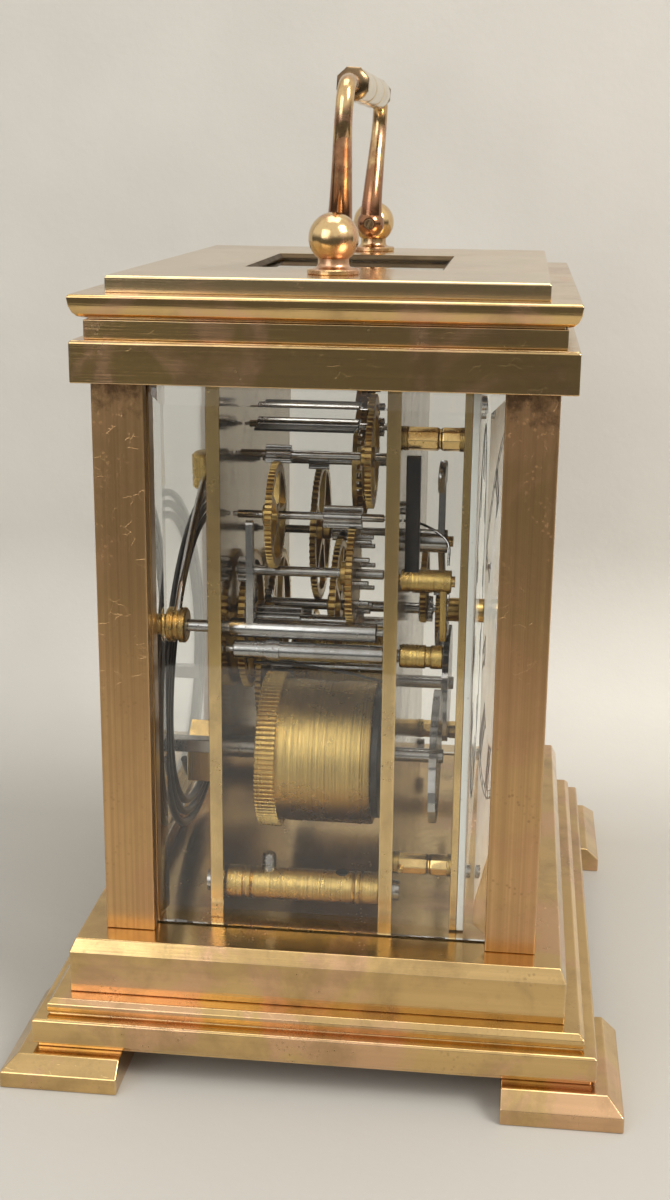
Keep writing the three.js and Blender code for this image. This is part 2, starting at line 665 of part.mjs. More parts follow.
function addGong() {
  const blockAngle = rad(232);
  const blockRadius = 24.6;
  const sweep = gongTurns * 2 * Math.PI;
  const runIn = rad(70);
  const inner = gongRadius - gongPitch * gongTurns;
  const points = [];
  const steps = 30 * gongTurns;
  for (let i = 0; i <= steps; i += 1) {
    const left = sweep * (1 - i / steps);
    const radius = inner + gongPitch * left / (2 * Math.PI);
    points.push(polar([0, 0], radius, blockAngle + runIn + left));
  }
  for (const share of [0.25, 0.5, 0.75, 1]) {
    const radius = inner + (blockRadius - inner) * share ** 1.5;
    points.push(polar([0, 0], radius, blockAngle + runIn * (1 - share)));
  }
  const path = new THREE.CatmullRomCurve3(points.map(([x, z]) => new THREE.Vector3(x, 0, z)));
  const wire = new THREE.ExtrudeGeometry(sixSided(gongWire), {
    extrudePath: path, steps: 66, bevelEnabled: false,
  });
  const wireSolid = toSolid(wire.rotateX(rad(gongLean)).translate(0, gongY, gongCentreZ));
  const [bx, bz] = polar([0, gongCentreZ], blockRadius - 1.5, blockAngle);
  const wireY = gongY - Math.sin(rad(gongLean)) * (bz - gongCentreZ);
  const top = 3.4;
  const shape = polygon([[bx - 4, bz - 5], [bx + 5, bz - 5], [bx + 5, bz + top], [bx + 1.5, bz + top + 4],
    [bx - 4, bz + top]]);
  place('gong_block', sheetY(shape, backPlateOuter, wireY - gongWire - seatGap), plateBrass);
  place('gong', wireSolid, blackSteel);
}

// ---------------------------------------------------------------- barrels

const greatWheelY = [11, 15.2];
const drumRadius = 14.9;
const drumFront = -8.3;
const ratchetY = [-21.5, -20];
const ratchetRadius = 14;
const squareEnd = 35.6;

function addBarrel(name, centre, pair) {
  const arborHole = rodY(centre, windingRadius + seatGap, -20, 30, 16);
  const drum = turnedY(centre, [
    [drumRadius - 1.4, drumFront - 1.3], [drumRadius - 1.4, drumFront], [drumRadius, drumFront],
    [drumRadius, greatWheelY[0] + 0.2],
  ], 28);
  const cap = turnedY(centre, [[8, greatWheelY[1] - 0.2], [8, greatWheelY[1] + 0.5]], 16);
  place(`${name}_barrel`, cut(join(drum, wheel(pair, ...greatWheelY), cap), arborHole), wheelBrass);
  const body = turnedY(centre, [
    [windingFrontRadius, ratchetY[0] - 1], [windingFrontRadius, frontPlateInner + seatGap],
    [windingRadius, frontPlateInner + seatGap], [windingRadius, backPlateOuter + 1.2],
  ], 14);
  const half = 1.45;
  const [x, z] = centre;
  const square = box(x - half, x + half, backPlateOuter + 1, squareEnd, z - half, z + half);
  const teeth = 24;
  const points = [];
  for (let i = 0; i < teeth; i += 1) {
    const angle = 2 * Math.PI * i / teeth;
    points.push(polar(centre, ratchetRadius, angle), polar(centre, ratchetRadius - 1.2, angle + 0.5 / teeth));
  }
  const ratchet = sheetY(polygon(points), ...ratchetY);
  place(`${name}_winding_arbor`, join(body, square, ratchet), steel);
}

// ---------------------------------------------------------------- trains

// Where each wheel and pinion lies along Y, front to back
const layers = {
  strikeFirst: { pinion: [10.6, 15.5], wheel: [16, 17.3] },
  strikeSecond: { pinion: [8, 17.4], wheel: [17.9, 19.2] },
  pinWheel: { pinion: [16.4, 19.4], wheel: [-4.4, -3], pins: [-7.5, -4] },
  strikeFourth: { pinion: [-5.6, 2], wheel: [11, 12.3] },
  warning: { pinion: [9, 14], wheel: [-7.6, -6.4] },
  fly: { pinion: [-8.4, -5], vane: [-3, 17], collar: [-3.4, 17.4] },
  goingFirst: { pinion: [10.6, 15.5], wheel: [17.9, 19.2] },
  centre: { pinion: [17.5, 19.8], wheel: [2, 3.3], cannon: [-18.2, -15.2] },
  goingThird: { pinion: [0.5, 5], wheel: [7, 8.3] },
  contrate: { pinion: [5.4, 9.8] },
};
const heavyArbor = 1;
const middleArbor = 0.9;
const lightArbor = 0.8;
const flyArbor = 0.7;
const strikePins = 10;
const strikePinCircle = 7.4;
const strikePinRadius = 0.5;
const vaneHalfWidth = 7.6;
const vaneHalfThickness = 0.3;

const pairs = Object.fromEntries(Object.entries(gearing).map(([name, pair]) => [name, mesh(pair)]));

function addStrikeTrain() {
  addBarrel('strike', at.strikeBarrel, pairs.strikeGreat);
  place('strike_first_wheel', join(
    arbor(at.strikeFirst, heavyArbor),
    pinion(pairs.strikeGreat, ...layers.strikeFirst.pinion),
    wheel(pairs.strikeFirst, ...layers.strikeFirst.wheel),
  ), wheelBrass);
  place('strike_second_wheel', join(
    arbor(at.strikeSecond, heavyArbor),
    pinion(pairs.strikeFirst, ...layers.strikeSecond.pinion),
    wheel(pairs.strikeSecond, ...layers.strikeSecond.wheel, 4),
  ), wheelBrass);
  const pins = [];
  for (let i = 0; i < strikePins; i += 1) {
    const centre = polar(at.pinWheel, strikePinCircle, 2 * Math.PI * i / strikePins);
    pins.push(rodY(centre, strikePinRadius, ...layers.pinWheel.pins, 6));
  }
  place('pin_wheel', join(
    arbor(at.pinWheel, heavyArbor),
    pinion(pairs.strikeSecond, ...layers.pinWheel.pinion),
    wheel(pairs.pinWheel, ...layers.pinWheel.wheel),
    ...pins,
  ), wheelBrass);
  place('strike_fourth_wheel', join(
    arbor(at.strikeFourth, lightArbor),
    pinion(pairs.pinWheel, ...layers.strikeFourth.pinion),
    wheel(pairs.strikeFourth, ...layers.strikeFourth.wheel, 5),
  ), wheelBrass);
  place('warning_wheel', join(
    arbor(at.warning, lightArbor),
    pinion(pairs.strikeFourth, ...layers.warning.pinion),
    wheel(pairs.warning, ...layers.warning.wheel, 4),
  ), wheelBrass);
  const [fx, fz] = at.fly;
  const vane = box(fx - vaneHalfWidth, fx + vaneHalfWidth, ...layers.fly.vane,
    fz - vaneHalfThickness, fz + vaneHalfThickness);
  const collar = rodY(at.fly, 2 * flyArbor + 0.1, ...layers.fly.collar, 10);
  place('fly', join(
    arbor(at.fly, flyArbor),
    pinion(pairs.warning, ...layers.fly.pinion),
    vane, collar,
  ), steel);
}

const contratePlane = -2.45;          // where the crown teeth and the upright pinion share their pitch
const crownTip = contratePlane - crownDepth * 0.42;
const crownRoot = crownTip + crownDepth;
const escapePitch = contrateRadius * escapeLeaves / contrateTeeth * (1 - crownWidth / 2 / contrateRadius);
const escapeY = contratePlane - escapePitch;
const zPlatform = zPlateTop;
const zEscapeWheel = zPlatform + platformThickness + 1.6;

function crown(centre) {
  const disc = new THREE.Shape().absarc(...centre, contrateRadius, 0, 2 * Math.PI);
  const inner = contrateRadius - crownWidth;
  const outer = contrateRadius - 0.15;
  const crossed = crossOut(disc, centre, 4, 2.6, inner - 0.6, 1.4);
  const rim = sheetY(crossed, crownRoot, crownRoot + 1);
  const teeth = [];
  const pitch = 2 * Math.PI / contrateTeeth;
  for (let i = 0; i < contrateTeeth; i += 1) {
    const middle = Math.PI / 2 + i * pitch;
    const half = 0.16 * pitch;
    const tooth = polygon([
      polar(centre, inner, middle - half), polar(centre, outer, middle - half),
      polar(centre, outer, middle + half), polar(centre, inner, middle + half),
    ]);
    teeth.push(sheetY(tooth, crownTip, crownRoot + 0.3));
  }
  return join(rim, ...teeth);
}

function addGoingTrain() {
  addBarrel('going', at.goingBarrel, pairs.goingGreat);
  place('going_first_wheel', join(
    arbor(at.goingFirst, heavyArbor),
    pinion(pairs.goingGreat, ...layers.goingFirst.pinion),
    wheel(pairs.goingFirst, ...layers.goingFirst.wheel, 5),
  ), wheelBrass);
  const cannonFront = layers.centre.cannon[0] - 0.2;
  const squareFront = backPlateOuter + 2.9;
  const squareLength = 5.1;
  const centreArbor = turnedY(at.centre, [
    [handArborRadius, minuteHandY[0] - 0.6], [handArborRadius, cannonFront], [shaftRadius, cannonFront],
    [shaftRadius, squareFront + 0.1],
  ], 12);
  const [cx, cz] = at.centre;
  const square = box(cx - 1, cx + 1, squareFront, squareFront + squareLength, cz - 1, cz + 1);
  place('centre_wheel', join(
    centreArbor, square,
    pinion(pairs.goingFirst, ...layers.centre.pinion),
    wheel(pairs.centre, ...layers.centre.wheel, 5),
    pinion(pairs.cannon, ...layers.centre.cannon),
  ), wheelBrass);
  place('going_third_wheel', join(
    arbor(at.goingThird, middleArbor),
    pinion(pairs.centre, ...layers.goingThird.pinion),
    wheel(pairs.goingThird, ...layers.goingThird.wheel, 5),
  ), wheelBrass);
  place('contrate_wheel', join(
    arbor(at.contrate, middleArbor),
    pinion(pairs.goingThird, ...layers.contrate.pinion),
    crown(at.contrate),
  ), wheelBrass);
}

// ---------------------------------------------------------------- platform escapement

const leverAxis = [at.contrate[0], escapeY + escapeWheelRadius + 3.4];
const balanceAxis = [at.contrate[0], leverAxis[1] + 8.2];
const zLever = zEscapeWheel - 0.1;
const zBalance = zEscapeWheel + 2.6;
const escapeTeeth = 15;
const escapeToothDepth = 1.3;
const escapeThickness = 0.7;
const escapeStemRadius = 0.45;
const leverThickness = 0.8;
const staffRadius = 0.5;
const balanceThickness = 0.9;
const balanceRim = 1.1;
const balanceHub = 1.2;
const cockThickness = 1.2;
const cockHalfWidth = 3;

// Flat pieces that lie on the platform: drawn in X and Y, thick along Z.
function sheetZ(shape, z0, z1) {
  const depth = z1 - z0;
  const geometry = new THREE.ExtrudeGeometry(shape, { depth, bevelEnabled: false, curveSegments: 10 });
  return toSolid(geometry.translate(0, 0, z0));
}

function addPlatform() {
  const [x] = at.contrate;
  const deck = box(x - platformHalfX, x + platformHalfX, frontPlateOuter, backPlateOuter, zPlatform,
    zPlatform + platformThickness);
  place('platform', cut(deck, rodZ(x, escapeY, 1.6, zPlatform - 1, zPlatform + 9)), polishedBrass);

  const zPinion = at.contrate[1] + contrateRadius - crownWidth - 0.4;
  const unit = 2 * escapePitch / escapeLeaves;
  const leafShape = toothed([x, escapeY], escapeLeaves, escapePitch - 0.95 * unit, escapePitch + 0.4 * unit,
    0.17, 0.1, Math.PI / 2 + Math.PI / escapeLeaves);
  const leaves = sheetZ(leafShape, zPinion, zPinion + crownWidth + 2);
  const stem = rodZ(x, escapeY, escapeStemRadius, zPinion - 1, zEscapeWheel + 1.4, 8);
  const escapeAt = [x, escapeY];
  const root = escapeWheelRadius - escapeToothDepth;
  const points = [];
  for (let i = 0; i < escapeTeeth; i += 1) {
    const angle = 2 * Math.PI * i / escapeTeeth;
    points.push(polar(escapeAt, root, angle - 0.06), polar(escapeAt, escapeWheelRadius, angle));
    points.push(polar(escapeAt, escapeWheelRadius - 0.05, angle + 0.07));
    points.push(polar(escapeAt, root, angle + 0.1));
  }
  const shape = crossOut(polygon(points), escapeAt, 4, 1.2, escapeWheelRadius - 2, 0.7);
  const escapeDisc = sheetZ(shape, zEscapeWheel, zEscapeWheel + escapeThickness);
  place('escape_wheel', join(stem, leaves, escapeDisc), wheelBrass);

  const [lx, ly] = leverAxis;
  const reach = escapeWheelRadius + 0.35;
  const fromAxis = (outline) => polygon(outline.map(([dx, dy]) => [lx + dx, ly + dy]));
  const claw = (sx) => fromAxis([
    [0, -0.8], [sx * 3.3, -2.6], [sx * 3.9, -2.2], [sx * 0.8, 0.8], [0, 0.8],
  ]);
  const fork = fromAxis([
    [-0.5, 0], [0.5, 0], [0.5, 5.4], [0.9, 6.3], [0.45, 6.3], [0, 5.7], [-0.45, 6.3], [-0.9, 6.3],
    [-0.5, 5.4],
  ]);
  const bite = rodZ(x, escapeY, reach, zLever - 1, zLever + 3, 40);
  const zStaff = zPlatform + platformThickness + seatGap;
  const leverStaff = rodZ(lx, ly, staffRadius, zStaff, zLever + 1.6, 8);
  const flat = [claw(1), claw(-1), fork].map((outline) => sheetZ(outline, zLever, zLever + leverThickness));
  place('pallet_lever', cut(join(...flat, leverStaff), bite), steel);

  const [bx, by] = balanceAxis;
  const ring = new THREE.Shape().absarc(bx, by, balanceRadius, 0, 2 * Math.PI);
  crossOut(ring, [bx, by], 2, balanceHub, balanceRadius - balanceRim, 1.3);
  const staffTop = zBalance + 2.8;
  const staff = rodZ(bx, by, staffRadius, zStaff, staffTop, 10);
  const hub = rodZ(bx, by, balanceHub, zBalance - 0.2, zBalance + balanceThickness + 0.3);
  place('balance', join(sheetZ(ring, zBalance, zBalance + balanceThickness), staff, hub), wheelBrass);

  const cockX = bx - balanceRadius - 1.4;
  const cockTop = staffTop + seatGap + cockThickness;
  const cockBack = cockX - cockHalfWidth;
  const foot = box(cockBack, cockX + 0.2, by - cockHalfWidth, by + cockHalfWidth,
    zPlatform + platformThickness, cockTop);
  const bridge = lever([cockBack, by], [bx + 1.6, by], 2 * cockHalfWidth, cockHalfWidth, 0, cockThickness);
  const arm = toSolid(toGeometry(bridge).translate(0, 0, -by).rotateX(-Math.PI / 2)
    .rotateX(Math.PI).translate(0, by, cockTop));
  place('balance_cock', join(foot, arm), polishedBrass);
}

// ---------------------------------------------------------------- strike work and motion work

const hammerBoss = [28, 32, 36.6];    // its shoulder, its step and its end
const hammerBossRadii = [3.5, 2.05];
const hammerArborRadius = 1.9;
const hammerArborSpan = [-9.5, 19.4];
const hammerTail = 4.8;
const hammerTailY = [-6.6, -5.2];
const hammerStop = 21;                // height of the standing lever over its arbor
const hammerStopY = [14.7, 16.1];
const hammerHeadLength = 8;
const hammerHeadRadius = 3.2;
const hammerHeadY = 31.2;
const hammerWire = 0.75;
const strikeAngle = rad(95);          // where the head meets the gong, from the right
const hammerRest = 0.5;               // from the gong to the head
const pivotEnd = 0.8;
const hookRise = 24.3;
const hookUpperY = [frontPlateOuter - 3.6, frontPlateOuter - 0.9];
const liftArborRadius = 1.75;
const liftCollar = [9.5, 12];
const liftArborEnd = 18.6;
const liftBushRadius = 2.3;
const liftBushEnd = -22.5;
const hourHandY = [dialFront - 1.7, dialFront - 1.2];
const minuteHandY = [dialFront - 3.1, dialFront - 2.6];
const hourHandLength = 22;
const hourHandAngle = rad(-57);
const minuteHandLength = 33;
const minuteHandAngle = rad(57);
const snailLow = 3.4;
const snailStep = 0.3;

function addHammer() {
  const [hx, hz] = at.hammer;
  const [arborFront, arborBack] = hammerArborSpan;
  const [wide, narrow] = hammerBossRadii;
  const [shoulder, stepDown, bossEnd] = hammerBoss;
  const shaft = turnedY(at.hammer, [
    [pivotEnd, frontPlateInner + seatGap], [pivotEnd, arborFront], [hammerArborRadius, arborFront],
    [hammerArborRadius, arborBack], [shaftRadius, arborBack], [shaftRadius, shoulder], [wide, shoulder],
    [wide, stepDown], [narrow, stepDown], [narrow, bossEnd],
  ], 12);
  const standing = lever([hx, hz], [hx - 1, hz + hammerStop], 3, 1.8, ...hammerStopY);
  const tailEnd = polar(at.hammer, hammerTail, bearing(at.hammer, at.pinWheel));
  const tail = lever([hx, hz], tailEnd, 3, 1.2, ...hammerTailY);
  const gongAt = [0, gongCentreZ];
  const reach = gongRadius + gongWire + hammerRest;
  const contact = polar(gongAt, reach, strikeAngle);
  const headMiddle = polar(gongAt, reach + hammerHeadLength / 2, strikeAngle);
  const edge = 0.6;
  const head = toSolid(turned(closed([
    [hammerHeadRadius - edge, 0], [hammerHeadRadius, edge], [hammerHeadRadius, hammerHeadLength - edge],
    [hammerHeadRadius - edge, hammerHeadLength],
  ]), 12).rotateX(Math.PI / 2).rotateY(Math.PI / 2 - strikeAngle)
    .translate(contact[0], hammerHeadY, contact[1]));
  const stem = new THREE.CatmullRomCurve3([
    [hx, 30, hz + 2.6], [hx + 2.8, 29.6, hz + 8], [hx + 11, 29.6, hz + 14.5], [hx + 23, 29.8, hz + 21.5],
    [headMiddle[0], hammerHeadY, headMiddle[1]],
  ].map((point) => new THREE.Vector3(...point)));
  const wire = new THREE.ExtrudeGeometry(sixSided(hammerWire), {
    extrudePath: stem, steps: 10, bevelEnabled: false,
  });
  place('hammer', join(shaft, standing, tail, toSolid(wire), head), steel);
}

function addStrikeWork() {
  const [collarFront, collarBack] = liftCollar;
  const liftShaft = turnedY(at.lifting, [
    [liftBushRadius, liftBushEnd], [liftBushRadius, frontPlateOuter - seatGap],
    [shaftRadius, frontPlateOuter - seatGap], [shaftRadius, frontPlateInner + seatGap],
    [liftArborRadius, frontPlateInner + seatGap], [liftArborRadius, collarFront],
    [liftArborRadius + 0.35, collarFront], [liftArborRadius + 0.35, collarBack],
    [liftArborRadius, collarBack], [liftArborRadius, liftArborEnd], [pivotEnd, liftArborEnd],
    [pivotEnd, backPlateInner - seatGap],
  ], 12);
  const armEnd = [at.centre[0] - 18, at.centre[1] + 3.5];
  const liftArm = lever(at.lifting, armEnd, 3.6, 1.8, liftBushEnd + 0.4, liftBushEnd + 1.6);
  place('lifting_piece', join(liftShaft, liftArm), plateBrass);

  const hookEnd = frontPlateOuter - 9.9;
  const [kx, kz] = at.hook;
  const hub = turnedY(at.hook, [[2.2, hookEnd], [2.2, frontPlateOuter - seatGap]], 16);
  const upper = lever(at.hook, [kx - 1, kz + hookRise], 2.2, 1.8, ...hookUpperY);
  const lower = lever(at.hook, [kx + 1.4, kz - 12.2], 3.4, 1.6, hookEnd + 0.8, hookEnd + 2.1);
  const hookBore = rodY(at.hook, studRadius + seatGap, -30, 0);
  place('rack_hook', cut(join(hub, upper, lower), hookBore), plateBrass);

  const [rx, rz] = at.rack;
  const rackFront = frontPlateOuter - 7.6;
  const rackHub = turnedY(at.rack, [[2.4, rackFront - 0.6], [2.4, frontPlateOuter - seatGap]], 14);
  const arc = [];
  const arcRadius = 15;
  const rackTeeth = 12;
  const rackTooth = 1.3;
  const start = rad(62);
  const step = rad(5);
  for (let i = 0; i < rackTeeth; i += 1) {
    const angle = start + i * step;
    arc.push(polar(at.rack, arcRadius, angle), polar(at.rack, arcRadius + rackTooth, angle + 0.01));
  }
  for (let i = rackTeeth - 1; i >= 0; i -= 1) arc.push(polar(at.rack, arcRadius - 2.6, start + i * step));
  const rackSpan = [rackFront, rackFront + 1.3];
  const sector = sheetY(polygon(arc), ...rackSpan);
  const spineEnd = polar(at.rack, arcRadius - 1, start + step * 5);
  const spine = lever(at.rack, spineEnd, 3, 2.2, ...rackSpan);
  const tail = lever(at.rack, [rx + 13.4, rz - 13.2], 3, 1.4, ...rackSpan);
  place('rack', cut(join(rackHub, sector, spine, tail), rodY(at.rack, studRadius + seatGap, -30, 0)), steel);
}

function addMotionWork() {
  const [mx, mz] = at.minute;
  const wheelBack = -16.1;
  const hourBack = -19.1;
  const minuteHub = turnedY(at.minute, [
    [1.35, hourBack - 1.7], [1.35, wheelBack - 1], [1.9, wheelBack - 1], [1.9, frontPlateOuter - seatGap],
  ], 12);
  const liftingPin = rodY([mx - 5, mz], 0.5, wheelBack - 2.4, wheelBack - 1, 6);
  const minuteBody = join(
    wheel(pairs.cannon, wheelBack - 1.2, wheelBack), liftingPin, minuteHub,
    pinion(pairs.hour, hourBack - 1.7, hourBack + 0.4),
  );
  const minuteBore = rodY(at.minute, minuteStudRadius + seatGap, -40, 0);
  place('minute_wheel', cut(minuteBody, minuteBore), wheelBrass);

  const pipe = turnedY(at.centre, [[2.6, hourHandY[0]], [2.6, hourBack]], 18);
  const snailPoints = [];
  for (let i = 0; i < 12; i += 1) {
    const radius = snailLow + snailStep * i;
    for (const turn of [0, 15, 29.5]) snailPoints.push(polar(at.centre, radius, rad(30 * i + turn)));
  }
  const snail = sheetY(polygon(snailPoints), hourBack - 2.6, hourBack - 1.4);
  const hourHand = sheetY(handShape(at.centre, hourHandLength, hourHandAngle, 4.4), ...hourHandY);
  const hourHub = rodY(at.centre, 3.2, hourBack - 1.5, hourBack - 1.1, 18);
  const hourBore = rodY(at.centre, handArborRadius + seatGap + 0.4, -40, 0, 14);
  const hourBody = join(pipe, wheel(pairs.hour, hourBack - 1.2, hourBack), snail, hourHub, hourHand);
  place('hour_wheel', cut(hourBody, hourBore), wheelBrass);

  const minuteHand = sheetY(handShape(at.centre, minuteHandLength, minuteHandAngle, 3.4), ...minuteHandY);
  const minuteBoss = rodY(at.centre, 2, ...minuteHandY, 16);
  const minuteHandBore = rodY(at.centre, handArborRadius + seatGap, -40, 0, 12);
  place('minute_hand', cut(join(minuteHand, minuteBoss), minuteHandBore), bluedSteel);
}

// A slender spade hand; its boss is round, its blade swells near the tip.
function handShape(centre, length, angle, boss) {
  const outline = [[0, boss / 2], [0.1, 0.8], [0.55, 0.65], [0.68, 1.9], [0.76, 2], [0.86, 0.9], [1, 0.15]];
  const point = ([along, half]) => {
    const [x, z] = polar(centre, along * length, angle);
    return [x - half * Math.sin(angle), z + half * Math.cos(angle)];
  };
  const other = outline.map(([along, half]) => [along, -half]).reverse();
  const tail = [[-0.06, -boss / 2.6], [-0.06, boss / 2.6]];
  return polygon([...outline, ...other, ...tail].map(point));
}

addFeet();
addBase();
addPillars();
addGlass();
addDoor();
addTop();
addHandlePosts();
addHandle();
addPlates();
addDial();
addGong();
addStrikeTrain();
addGoingTrain();
addPlatform();
addHammer();
addStrikeWork();
addMotionWork();

export default clock;
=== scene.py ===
# A brass carriage clock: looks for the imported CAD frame. Sizes below are in millimetres.
import json
import math

import bmesh
import bpy
from mathutils import Matrix, Vector

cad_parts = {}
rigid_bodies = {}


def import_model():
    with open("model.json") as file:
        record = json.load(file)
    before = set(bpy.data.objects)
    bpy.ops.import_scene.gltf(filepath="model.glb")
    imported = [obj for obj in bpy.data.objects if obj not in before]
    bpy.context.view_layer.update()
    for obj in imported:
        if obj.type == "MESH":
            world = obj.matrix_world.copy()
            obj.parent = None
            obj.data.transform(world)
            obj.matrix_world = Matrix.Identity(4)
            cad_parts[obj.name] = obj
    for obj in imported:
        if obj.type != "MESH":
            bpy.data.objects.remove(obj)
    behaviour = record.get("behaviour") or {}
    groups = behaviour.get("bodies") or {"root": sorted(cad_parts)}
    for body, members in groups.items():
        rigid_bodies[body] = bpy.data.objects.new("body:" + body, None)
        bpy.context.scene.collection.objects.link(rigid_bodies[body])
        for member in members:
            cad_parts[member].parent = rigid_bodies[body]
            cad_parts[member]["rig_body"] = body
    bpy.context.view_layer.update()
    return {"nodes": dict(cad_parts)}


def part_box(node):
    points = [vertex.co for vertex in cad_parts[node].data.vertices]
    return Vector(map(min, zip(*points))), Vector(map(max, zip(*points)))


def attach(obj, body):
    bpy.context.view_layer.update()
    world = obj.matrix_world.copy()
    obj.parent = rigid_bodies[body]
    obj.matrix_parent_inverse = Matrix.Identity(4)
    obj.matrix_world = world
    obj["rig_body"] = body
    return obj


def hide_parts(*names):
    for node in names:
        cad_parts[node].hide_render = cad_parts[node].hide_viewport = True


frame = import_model()
print("frame loaded:", len(frame["nodes"]), "nodes")

millimetre = 0.001
turn = 2 * math.pi

# Camera

cameraSettings = {
    "place": (-338.731, -34.767, 175.197),
    "yaw": 6.461,
    "pitch": 15.465,
    "roll": 0.597,
    "lens": 47.80,
    "sensor": 36.0,
}


def addCamera(s):
    yaw, pitch, roll = (math.radians(s[key]) for key in ("yaw", "pitch", "roll"))
    ahead = Vector((math.cos(yaw) * math.cos(pitch), math.sin(yaw) * math.cos(pitch), -math.sin(pitch)))
    right = Vector((math.sin(yaw), -math.cos(yaw), 0))
    up = right.cross(ahead)
    tiltedRight = right * math.cos(roll) + up * math.sin(roll)
    tiltedUp = up * math.cos(roll) - right * math.sin(roll)
    data = bpy.data.cameras.new("camera")
    data.lens = s["lens"]
    data.sensor_width = s["sensor"]
    data.sensor_fit = "AUTO"
    data.clip_start = 0.01
    data.clip_end = 20
    camera = bpy.data.objects.new("camera", data)
    bpy.context.scene.collection.objects.link(camera)
    matrix = Matrix((tiltedRight, tiltedUp, -ahead)).transposed().to_4x4()
    matrix.translation = Vector(s["place"]) * millimetre
    camera.matrix_world = matrix
    bpy.context.scene.camera = camera


addCamera(cameraSettings)
bpy.context.scene.view_settings.view_transform = "Standard"

# Shader groups


def feed(tree, node, sockets):
    # Each input gets a value or the output of another node
    for socket, value in sockets.items():
        if isinstance(value, bpy.types.NodeSocket):
            tree.links.new(value, node.inputs[socket])
        else:
            node.inputs[socket].default_value = value


def put(tree, kind, sockets=None, **settings):
    node = tree.nodes.new(kind)
    for key, value in settings.items():
        setattr(node, key, value)
    feed(tree, node, sockets or {})
    return node


def makeGroup(name, inputs, outputs):
    tree = bpy.data.node_groups.new(name, "ShaderNodeTree")
    for label, value in inputs.items():
        kind = "Float" if isinstance(value, float) else "Vector" if len(value) == 3 else "Color"
        socket = tree.interface.new_socket(name=label, in_out="INPUT", socket_type="NodeSocket" + kind)
        socket.default_value = value
    for label in outputs:
        kind = "Color" if label == "Color" else "Float"
        tree.interface.new_socket(name=label, in_out="OUTPUT", socket_type="NodeSocket" + kind)
    return tree, tree.nodes.new("NodeGroupInput").outputs, tree.nodes.new("NodeGroupOutput")


def makeMaterial(name):
    material = bpy.data.materials.new(name)
    material.use_nodes = True
    return material, material.node_tree, material.node_tree.nodes["Principled BSDF"]


def objectPoint(tree):
    return put(tree, "ShaderNodeTexCoord").outputs["Object"]


def noise(tree, vector, scale, detail=3, rough=0.55, distortion=0.0, output="Fac"):
    return put(tree, "ShaderNodeTexNoise", {"Vector": vector, "Scale": scale, "Detail": detail,
                                            "Roughness": rough, "Distortion": distortion}).outputs[output]


def mapRange(tree, value, low, high, outLow=0.0, outHigh=1.0, clamp=True):
    return put(tree, "ShaderNodeMapRange", {"Value": value, "From Min": low, "From Max": high, "To Min": outLow,
                                            "To Max": outHigh}, clamp=clamp).outputs["Result"]


def mapped(tree, vector, **placing):
    sockets = {key.capitalize(): value for key, value in placing.items()}
    return put(tree, "ShaderNodeMapping", {"Vector": vector, **sockets}).outputs["Vector"]


def maths(tree, operation, a, b=0.5, clamp=False):
    return put(tree, "ShaderNodeMath", {0: a, 1: b}, operation=operation, use_clamp=clamp).outputs["Value"]


def times(tree, a, b, clamp=False):
    return maths(tree, "MULTIPLY", a, b, clamp)


def mixColour(tree, factor, a, b):
    return put(tree, "ShaderNodeMix", {0: factor, 6: a, 7: b}, data_type="RGBA").outputs[2]


def mixShaders(tree, factor, a, b):
    mix = put(tree, "ShaderNodeMixShader", {0: factor, 1: a.outputs[0], 2: b.outputs[0]})
    feed(tree, tree.nodes["Material Output"], {"Surface": mix.outputs[0]})


def addBump(tree, shader, height, strength, distance):
    bump = put(tree, "ShaderNodeBump", {"Strength": strength, "Distance": distance, "Height": height})
    feed(tree, shader, {"Normal": bump.outputs["Normal"]})


def agedMetalGroup():
    # Soft-edged pink and brown patches over the clean metal
    tree, given, made = makeGroup("agedMetal", {
        "Clean": (0.8, 0.5, 0.2, 1), "Pink": (0.8, 0.4, 0.25, 1), "Brown": (0.4, 0.22, 0.1, 1),
        "Pink Amount": 0.5, "Brown Amount": 0.5, "Patches": 60.0}, ("Color", "Tarnish"))
    point = objectPoint(tree)
    broad = noise(tree, point, given["Patches"], 5.0, 0.62, 0.8)
    pinkMask = times(tree, mapRange(tree, broad, 0.51, 0.60), given["Pink Amount"])
    other = noise(tree, mapped(tree, point, location=(0.31, 0.17, 0.53)), times(tree, given["Patches"], 1.7),
                  6.0, 0.68, 0.3)
    brownMask = times(tree, mapRange(tree, other, 0.46, 0.66), given["Brown Amount"])
    colour = mixColour(tree, pinkMask, given["Clean"], given["Pink"])
    feed(tree, made, {"Color": mixColour(tree, brownMask, colour, given["Brown"]),
                      "Tarnish": maths(tree, "MAXIMUM", pinkMask, brownMask)})
    return tree


def grainGroup():
    # Fine parallel lines: the stretch is large across them and small along them
    tree, given, made = makeGroup("brushedGrain", {"Stretch": (4000.0, 4000.0, 60.0), "Waves": 0.3},
                                  ("Height", "Streak"))
    point = objectPoint(tree)
    stretched = mapped(tree, point, scale=given["Stretch"])
    lines = noise(tree, stretched, 1.0, 2, 0.5)
    broadLines = noise(tree, mapped(tree, stretched, scale=(0.16, 0.16, 0.16), location=(3.0, 7.0, 1.0)), 1.0, 3, 0.6)
    waves = times(tree, noise(tree, point, 70.0, 2, 0.4), given["Waves"])
    height = maths(tree, "ADD", times(tree, lines, 0.35), times(tree, broadLines, 0.25))
    feed(tree, made, {"Height": maths(tree, "ADD", height, waves),
                      "Streak": mapRange(tree, broadLines, 0.35, 0.65)})
    return tree


